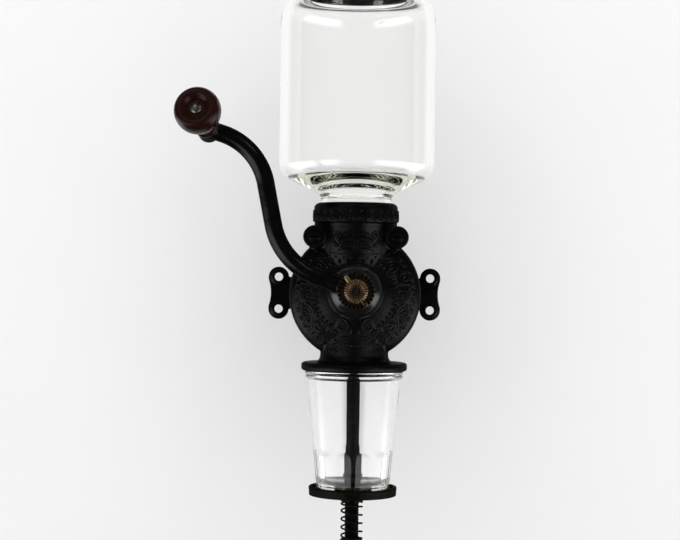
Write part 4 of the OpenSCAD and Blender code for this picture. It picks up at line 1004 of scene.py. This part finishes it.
def pale_world():
    """An even studio: plain light on every surface, and a pale view.

    What gloss and glass show of it first hand is dim in front and pale behind. Gloss also shows a low window
    on each side, and a view straight through the glass from behind is pale.
    """
    world = bpy.data.worlds.new("studio")
    bpy.context.scene.world = world
    world.use_nodes = True
    tree = world.node_tree
    tree.nodes.clear()

    def both(first, second):
        return worked(tree, "MULTIPLY", first, second)

    def glow(colour):
        return add_node(tree, "ShaderNodeBackground", {"Color": colour}).outputs[0]

    ray = add_node(tree, "ShaderNodeLightPath").outputs
    way = axes(tree, "Generated")
    pale, dim, black, white, window_glow = (0.9, 0.9, 0.905), (0.02, 0.02, 0.021), (0, 0, 0), (1, 1, 1), (3.0, 3.0, 3.1)
    room = graded(tree, spread(tree, way["Y"], 0, 1), (0, dim), (1, pale))
    low = graded(tree, spread(tree, way["Z"], 0, 1, -0.8, 0),
                 (0.12, black), (0.27, white), (0.7, white), (0.88, black))
    beside = spread(tree, worked(tree, "ABSOLUTE", way["X"]), 0, 1, 0.36, 0.56)
    window = both(both(low, beside), ray["Is Glossy Ray"])
    straight = both(ray["Is Transmission Ray"], worked(tree, "LESS_THAN", ray["Glossy Depth"], 0.5))
    room = blended(tree, both(straight, spread(tree, way["Y"], 1, 0, -0.7, -0.3)), room, pale)
    through = seen_first_hand(tree, ray, worked(tree, "MAXIMUM", ray["Is Glossy Ray"], ray["Is Transmission Ray"]))
    lit = either(tree, through, glow(white), glow(blended(tree, window, room, window_glow)))
    add_node(tree, "ShaderNodeOutputWorld", {"Surface": either(tree, ray["Is Camera Ray"], lit, glow(pale))})


def stand(name, mesh, finish, dark, light, scale):
    """A piece of the stage with a clouded pale finish, and the finish's tree and shader."""
    piece = put_in_scene(name, mesh)
    material, tree, shader = node_material(finish)
    feed(tree, shader, {"Base Color": graded(tree, object_noise(tree, scale), (0.3, dark), (0.7, light))})
    mesh.materials.append(material)
    return piece, tree, shader


def backdrop():
    """A flat pale wall behind the mill that only its front side shows, so views from behind look through it.

    Seen first hand through glass, from 5 cm up and fully from 10 cm, it glows plain white: painted light that lifts the
    shade on the wall behind the jar.
    """
    half_w, top, depth = 0.305, 0.6, 0.08
    across = np.linspace(-half_w, half_w, 9)[None, :, None] * np.array([1.0, 0, 0])
    up = np.linspace(FLOOR_Z, top, 8)[:, None, None] * UP
    points, faces = surface(np.array([0, depth, 0]) + across + up, wrap_columns=False)
    mesh = bpy.data.meshes.new("backdrop")
    mesh.from_pydata(points, [], faces.tolist())
    _, tree, shader = stand("backdrop", mesh, "pale_wall", (0.915, 0.915, 0.92), (0.935, 0.935, 0.94), 5)
    feed(tree, shader, {"Roughness": 1.0, "Specular IOR Level": 0.0})
    ray = add_node(tree, "ShaderNodeLightPath").outputs
    # Painted light: where glass shows the wall first hand, above 5 to 10 cm, it glows plain white in place of its own
    # shade behind the jar
    through = seen_first_hand(tree, ray, ray["Is Transmission Ray"])
    share = worked(tree, "MULTIPLY", through, spread(tree, axes(tree)["Z"], 0, 1, 0.05, 0.1))
    pale = add_node(tree, "ShaderNodeEmission", {"Color": (1, 1, 1)})
    shown = either(tree, share, shader.outputs[0], pale.outputs[0])
    behind = add_node(tree, "ShaderNodeNewGeometry").outputs["Backfacing"]
    clear = add_node(tree, "ShaderNodeBsdfTransparent")
    feed(tree, tree.nodes["Material Output"], {"Surface": either(tree, behind, shown, clear.outputs[0])})


def floor():
    """A round pale floor below the mill, which gloss doesn't show."""
    disc = outline((0, 0), (350, 0), (352, -2), (350, -4), (0, -4))
    mesh = new_mesh("floor", surface(lathe(disc, 96, np.array([0, AXIS[1], FLOOR_Z]))))
    piece, tree, shader = stand("floor", mesh, "pale_floor", (0.78, 0.78, 0.78), (0.8, 0.8, 0.8), 8)
    feed(tree, shader, {"Roughness": 0.8})
    piece.visible_glossy = False


def softbox(name, place, aim, size, power):
    light = bpy.data.lights.new(name, "AREA")
    light.shape = "RECTANGLE"
    light.size, light.size_y = size
    light.energy = power
    lamp = put_in_scene(name, light)
    lamp.location = place
    direction = Vector(aim) - Vector(place)
    lamp.rotation_euler = direction.to_track_quat("-Z", "Y").to_euler()
    return lamp


def lights():
    aim = (0, -0.06, 0.05)
    softbox("left_softbox", (-0.62, -0.95, 0.95), aim, (0.3, 0.14), 0.6)
    softbox("right_softbox", (0.58, -1.0, 0.95), aim, (0.3, 0.14), 0.6)
    overhead = softbox("top_softbox", (0.0, -0.5, 1.2), aim, (0.7, 0.5), 1.0)
    overhead.visible_glossy = False


def light_paths():
    """Enough bounces for light to find its way through the thick glass round the jar's neck."""
    paths = bpy.context.scene.cycles
    paths.max_bounces, paths.glossy_bounces, paths.transmission_bounces = 32, 24, 32


def camera():
    """A camera with a slight roll at the photograph's place, its focal length in pixels of a picture 680 wide."""
    picture_w, focal_px = 680, 1650
    view = bpy.data.cameras.new("photo_view")
    view.sensor_width = 36
    view.lens = focal_px / picture_w * view.sensor_width
    place = put_in_scene("photo_view", view)
    place.location = (-0.0112, -1.269, 0.018)
    place.rotation_euler = (math.radians(90), math.radians(-0.72), 0)
    bpy.context.scene.camera = place


castings()
cover_bolts()
crank()
adjuster()
knob()
jar()
lid()
cup()
rod()
spring()
rod_nuts()
hidden_works()
pale_world()
backdrop()
floor()
lights()
light_paths()
camera()
bpy.context.scene.view_settings.view_transform = "Standard"
